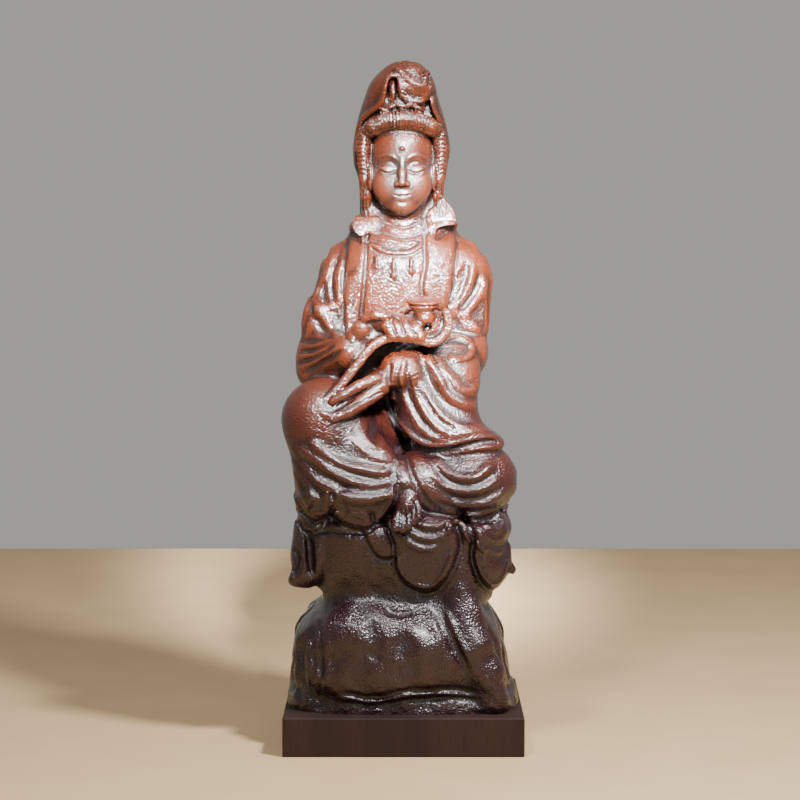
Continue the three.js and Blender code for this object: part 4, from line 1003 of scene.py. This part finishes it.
# Waxed rosewood: dark red-brown with lighter upright streaks and darker pores, worn paler on the
# crests, with painted shade that makes the hollows nearly black, and painted shade that darkens it
# towards the foot. The pores and the stipple are drawn coarser than they are, as wide as they need
# to be to show.
GRAIN_WIDTH, STREAK_WIDTH, RUBBED, GOUGE, STIPPLE = 0.7, 6, 5.5556, 3.2, 1.3
MID_FACE = (-0.001, -0.03, 0.415)
rosewood = bpy.data.materials.new("waxed_rosewood")
rosewood.use_nodes = True
tree = rosewood.node_tree
shader = tree.nodes["Principled BSDF"]
place = node(tree, "ShaderNodeTexCoord").outputs["Object"]
height = node(tree, "ShaderNodeSeparateXYZ", {0: place}).outputs["Z"]
from_face = node(tree, "ShaderNodeVectorMath", {0: place, 1: MID_FACE}, operation="DISTANCE").outputs[1]
hollow = node(tree, "ShaderNodeAttribute", attribute_name="hollow").outputs["Fac"]
upright = node(tree, "ShaderNodeMapping", {"Vector": place, "Scale": (1, 1, 0.06)}).outputs[0]
grain = node(tree, "ShaderNodeTexNoise", {
    "Vector": upright, "Scale": 0.5 / (GRAIN_WIDTH * MM), "Detail": 4, "Roughness": 0.6}).outputs["Fac"]
streaks = node(tree, "ShaderNodeTexNoise", {
    "Vector": upright, "Scale": 0.5 / (STREAK_WIDTH * MM), "Detail": 3, "Distortion": 0.4}).outputs["Fac"]
tone = toned(tree, colour("180804"), streaks, 0.35, 0.65, 1, "2b0e06")
tone = toned(tree, tone, grain, 0.48, 0.66, 0.75, "0d0403")
tone = toned(tree, tone, hollow, -0.05, -0.6, 0.5, "451c0c")
# painted shade: the hollows are darkened nearly black, as shadow would darken them
tone = toned(tree, tone, hollow, 0.05, 0.6, 0.6, "0d0504")
# painted shade: darker towards the foot, where less light reaches
tone = toned(tree, tone, height, 0.28, 0.16, 0.8, "1a0810")
tree.links.new(tone, shader.inputs["Base Color"])

# How rough it is: uneven from rubbing, duller on the face and in the hollows. Then how strongly the
# stipple and the gouge's flats show: the stipple least on the face, the flats most near the foot.
rubbed = node(tree, "ShaderNodeTexNoise", {
    "Vector": place, "Scale": 0.5 / (RUBBED * MM), "Detail": 3}).outputs["Fac"]
RANGES = ((rubbed, 0, 1, 0.3, 0.5), (from_face, 0.022, 0.034, 0, -0.16), (hollow, 0, 0.6, 0, 0.15),
          (from_face, 0.022, 0.034, 0.225, 0.9), (height, 0.16, 0.11, 0.25, 1))
uneven, off_face, dull, stipple_shows, gouge_shows = (
    node(tree, "ShaderNodeMapRange", zip(RANGE, row)).outputs[0] for row in RANGES)
rough = node(tree, "ShaderNodeMath", {0: uneven, 1: off_face}, operation="ADD").outputs[0]
rough = node(tree, "ShaderNodeMath", {0: rough, 1: dull}, operation="ADD").outputs[0]
tree.links.new(rough, shader.inputs["Roughness"])
shader.inputs["IOR"].default_value = 1.5
shader.inputs["Coat Weight"].default_value = 0.2
shader.inputs["Coat Roughness"].default_value = 0.25
gouged = node(tree, "ShaderNodeTexNoise", {
    "Vector": place, "Scale": 0.5 / (GOUGE * MM), "Detail": 2}).outputs["Fac"]
stippled = node(tree, "ShaderNodeTexVoronoi", {
    "Vector": place, "Scale": 1 / (STIPPLE * MM)}, feature="SMOOTH_F1").outputs["Distance"]
relief = node(tree, "ShaderNodeBump", {"Height": gouged, "Distance": 0.9 * MM, "Strength": gouge_shows})
relief = node(tree, "ShaderNodeBump", {
    "Height": grain, "Distance": 0.12 * MM, "Strength": 0.35, "Normal": relief.outputs[0]})
relief = node(tree, "ShaderNodeBump", {
    "Height": stippled, "Distance": 0.8 * MM, "Strength": stipple_shows, "Normal": relief.outputs[0]})
tree.links.new(relief.outputs[0], shader.inputs["Normal"])
figure.data.materials.clear()
figure.data.materials.append(rosewood)
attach(figure, "root")
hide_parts("guanyin_carving")


# The plinth
# The foot of the block, left square: sawn and planed flat, with its edges just eased. It is the same
# piece of wood as the rock above it.
PLINTH = ((cad_high[0] - cad_low[0]) / MM, (cad_high[1] - cad_low[1]) / MM, PLINTH_TOP)
EASED_EDGE = 0.8
slab = bmesh.new()
bmesh.ops.create_cube(slab, size=1)
bmesh.ops.scale(slab, verts=slab.verts, vec=[side * MM for side in PLINTH])
bmesh.ops.translate(slab, verts=slab.verts, vec=(0, 0, PLINTH_TOP * MM / 2))
bmesh.ops.bevel(slab, geom=slab.edges[:], offset=EASED_EDGE * MM, affect="EDGES", segments=3, profile=0.5,
                material=-1)
plinth_mesh = bpy.data.meshes.new("plinth")
slab.to_mesh(plinth_mesh)
slab.free()
plinth = bpy.data.objects.new("plinth", plinth_mesh)
bpy.context.scene.collection.objects.link(plinth)

# The same wood planed and only oiled: brown and matt, with fine upright lines. Its top is rough from
# the gouge.
LINE_WIDTH, BAND_WIDTH, CHIP = 0.5, 14, 1.6
planed = bpy.data.materials.new("planed_rosewood")
planed.use_nodes = True
tree = planed.node_tree
shader = tree.nodes["Principled BSDF"]
place = node(tree, "ShaderNodeTexCoord").outputs["Object"]
upright = node(tree, "ShaderNodeMapping", {"Vector": place, "Scale": (1, 1, 0.05)}).outputs[0]
lines = node(tree, "ShaderNodeTexNoise", {
    "Vector": upright, "Scale": 0.5 / (LINE_WIDTH * MM), "Detail": 4}).outputs["Fac"]
bands = node(tree, "ShaderNodeTexNoise", {
    "Vector": upright, "Scale": 0.5 / (BAND_WIDTH * MM), "Detail": 2}).outputs["Fac"]
tone = toned(tree, colour("1f100c"), bands, 0.35, 0.65, 1, "2a1812")
tone = toned(tree, tone, lines, 0.45, 0.7, 0.5, "100806")
tree.links.new(tone, shader.inputs["Base Color"])
shader.inputs["Roughness"].default_value = 0.65
shader.inputs["IOR"].default_value = 1.5
shader.inputs["Specular IOR Level"].default_value = 0.25
chipped = node(tree, "ShaderNodeTexNoise", {
    "Vector": place, "Scale": 0.5 / (CHIP * MM), "Detail": 3}).outputs["Fac"]
facing = node(tree, "ShaderNodeSeparateXYZ", {0: node(tree, "ShaderNodeNewGeometry").outputs["Normal"]})
relief = node(tree, "ShaderNodeBump", {"Height": lines, "Distance": 0.1 * MM, "Strength": 0.4})
relief = node(tree, "ShaderNodeBump", {
    "Height": chipped, "Distance": 0.9 * MM, "Strength": facing.outputs["Z"],
    "Normal": relief.outputs[0]})
tree.links.new(relief.outputs[0], shader.inputs["Normal"])
plinth_mesh.materials.append(planed)
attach(plinth, "root")
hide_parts("guanyin_carving")


# The studio
# A plain pale table and wall, soft light, and the camera at the picture's viewing angle. The narrow
# front lamp lights the chest, as the strong light on the real figure does.
def stand(name, data, place, target=None):
    """Puts a lamp, camera or mesh in its place, turned towards a target if it has one."""
    made = bpy.data.objects.new(name, data)
    bpy.context.scene.collection.objects.link(made)
    made.location = place
    if target:
        made.rotation_euler = (Vector(target) - Vector(place)).to_track_quat("-Z", "Y").to_euler()
    return made


# in metres: the table's far edge, half its side, and how far it lies under the plinth
FLOOR_END, HALF_FLOOR, DROP = 0.985, 3, 0.0002
floor_mesh = bpy.data.meshes.new("floor")
ground = bmesh.new()
bmesh.ops.create_grid(ground, x_segments=1, y_segments=1, size=HALF_FLOOR)
bmesh.ops.translate(ground, verts=ground.verts, vec=(0, FLOOR_END - HALF_FLOOR, 0))
ground.to_mesh(floor_mesh)
ground.free()
floor = stand("floor", floor_mesh, (0, 0, -DROP))

# Pale board, matt, with faint blotches.
MOTTLE = 35.714
pale = bpy.data.materials.new("pale_board")
pale.use_nodes = True
tree = pale.node_tree
shader = tree.nodes["Principled BSDF"]
place = node(tree, "ShaderNodeTexCoord").outputs["Object"]
mottle = node(tree, "ShaderNodeTexNoise", {
    "Vector": place, "Scale": 0.5 / (MOTTLE * MM), "Detail": 5}).outputs["Fac"]
board = toned(tree, colour("ad9168"), mottle, 0, 1, 1, "bca078")
tree.links.new(board, shader.inputs["Base Color"])
shader.inputs["Roughness"].default_value = 0.8
floor_mesh.materials.append(pale)

world = bpy.data.worlds.new("studio")
bpy.context.scene.world = world
world.use_nodes = True
world.node_tree.nodes["Background"].inputs["Color"].default_value = colour("cdccc6")
world.node_tree.nodes["Background"].inputs["Strength"].default_value = 0.62
# each lamp: name, place, aim, side in metres, watts and spread in degrees
LAMPS = (("key", (0.4, -0.44, 0.84), (0, 0, 0.27), 0.1, 22, 180),
         ("second", (-0.16, -0.42, 0.86), (0, 0, 0.27), 0.1, 5, 180),
         ("front", (0.12, -1, 0.78), (0.03, 0, 0.335), 0.14, 4.2, 15),
         ("low", (0.4, -1.2, 0.6), (0, 0, 0.27), 0.4, 2, 180))
for name, place_at, target, side, power, spread in LAMPS:
    lamp = bpy.data.lights.new(name, "AREA")
    lamp.energy, lamp.size, lamp.spread = power, side, math.radians(spread)
    stand(name, lamp, place_at, target)

# The camera looks down a little. The figure's middle lies at this pixel of the picture's width.
PITCH = math.radians(4.6)
PICTURE_WIDTH, MIDDLE_AT = 800, 403.5
camera_data = bpy.data.cameras.new("camera")
camera_data.sensor_width, camera_data.lens = 36, 108.9
camera_data.shift_x = (PICTURE_WIDTH / 2 - MIDDLE_AT) / PICTURE_WIDTH
camera = stand("camera", camera_data, (0, -1.7865, 0.395))
camera.rotation_euler = (math.pi / 2 - PITCH, 0, 0)
bpy.context.scene.camera = camera
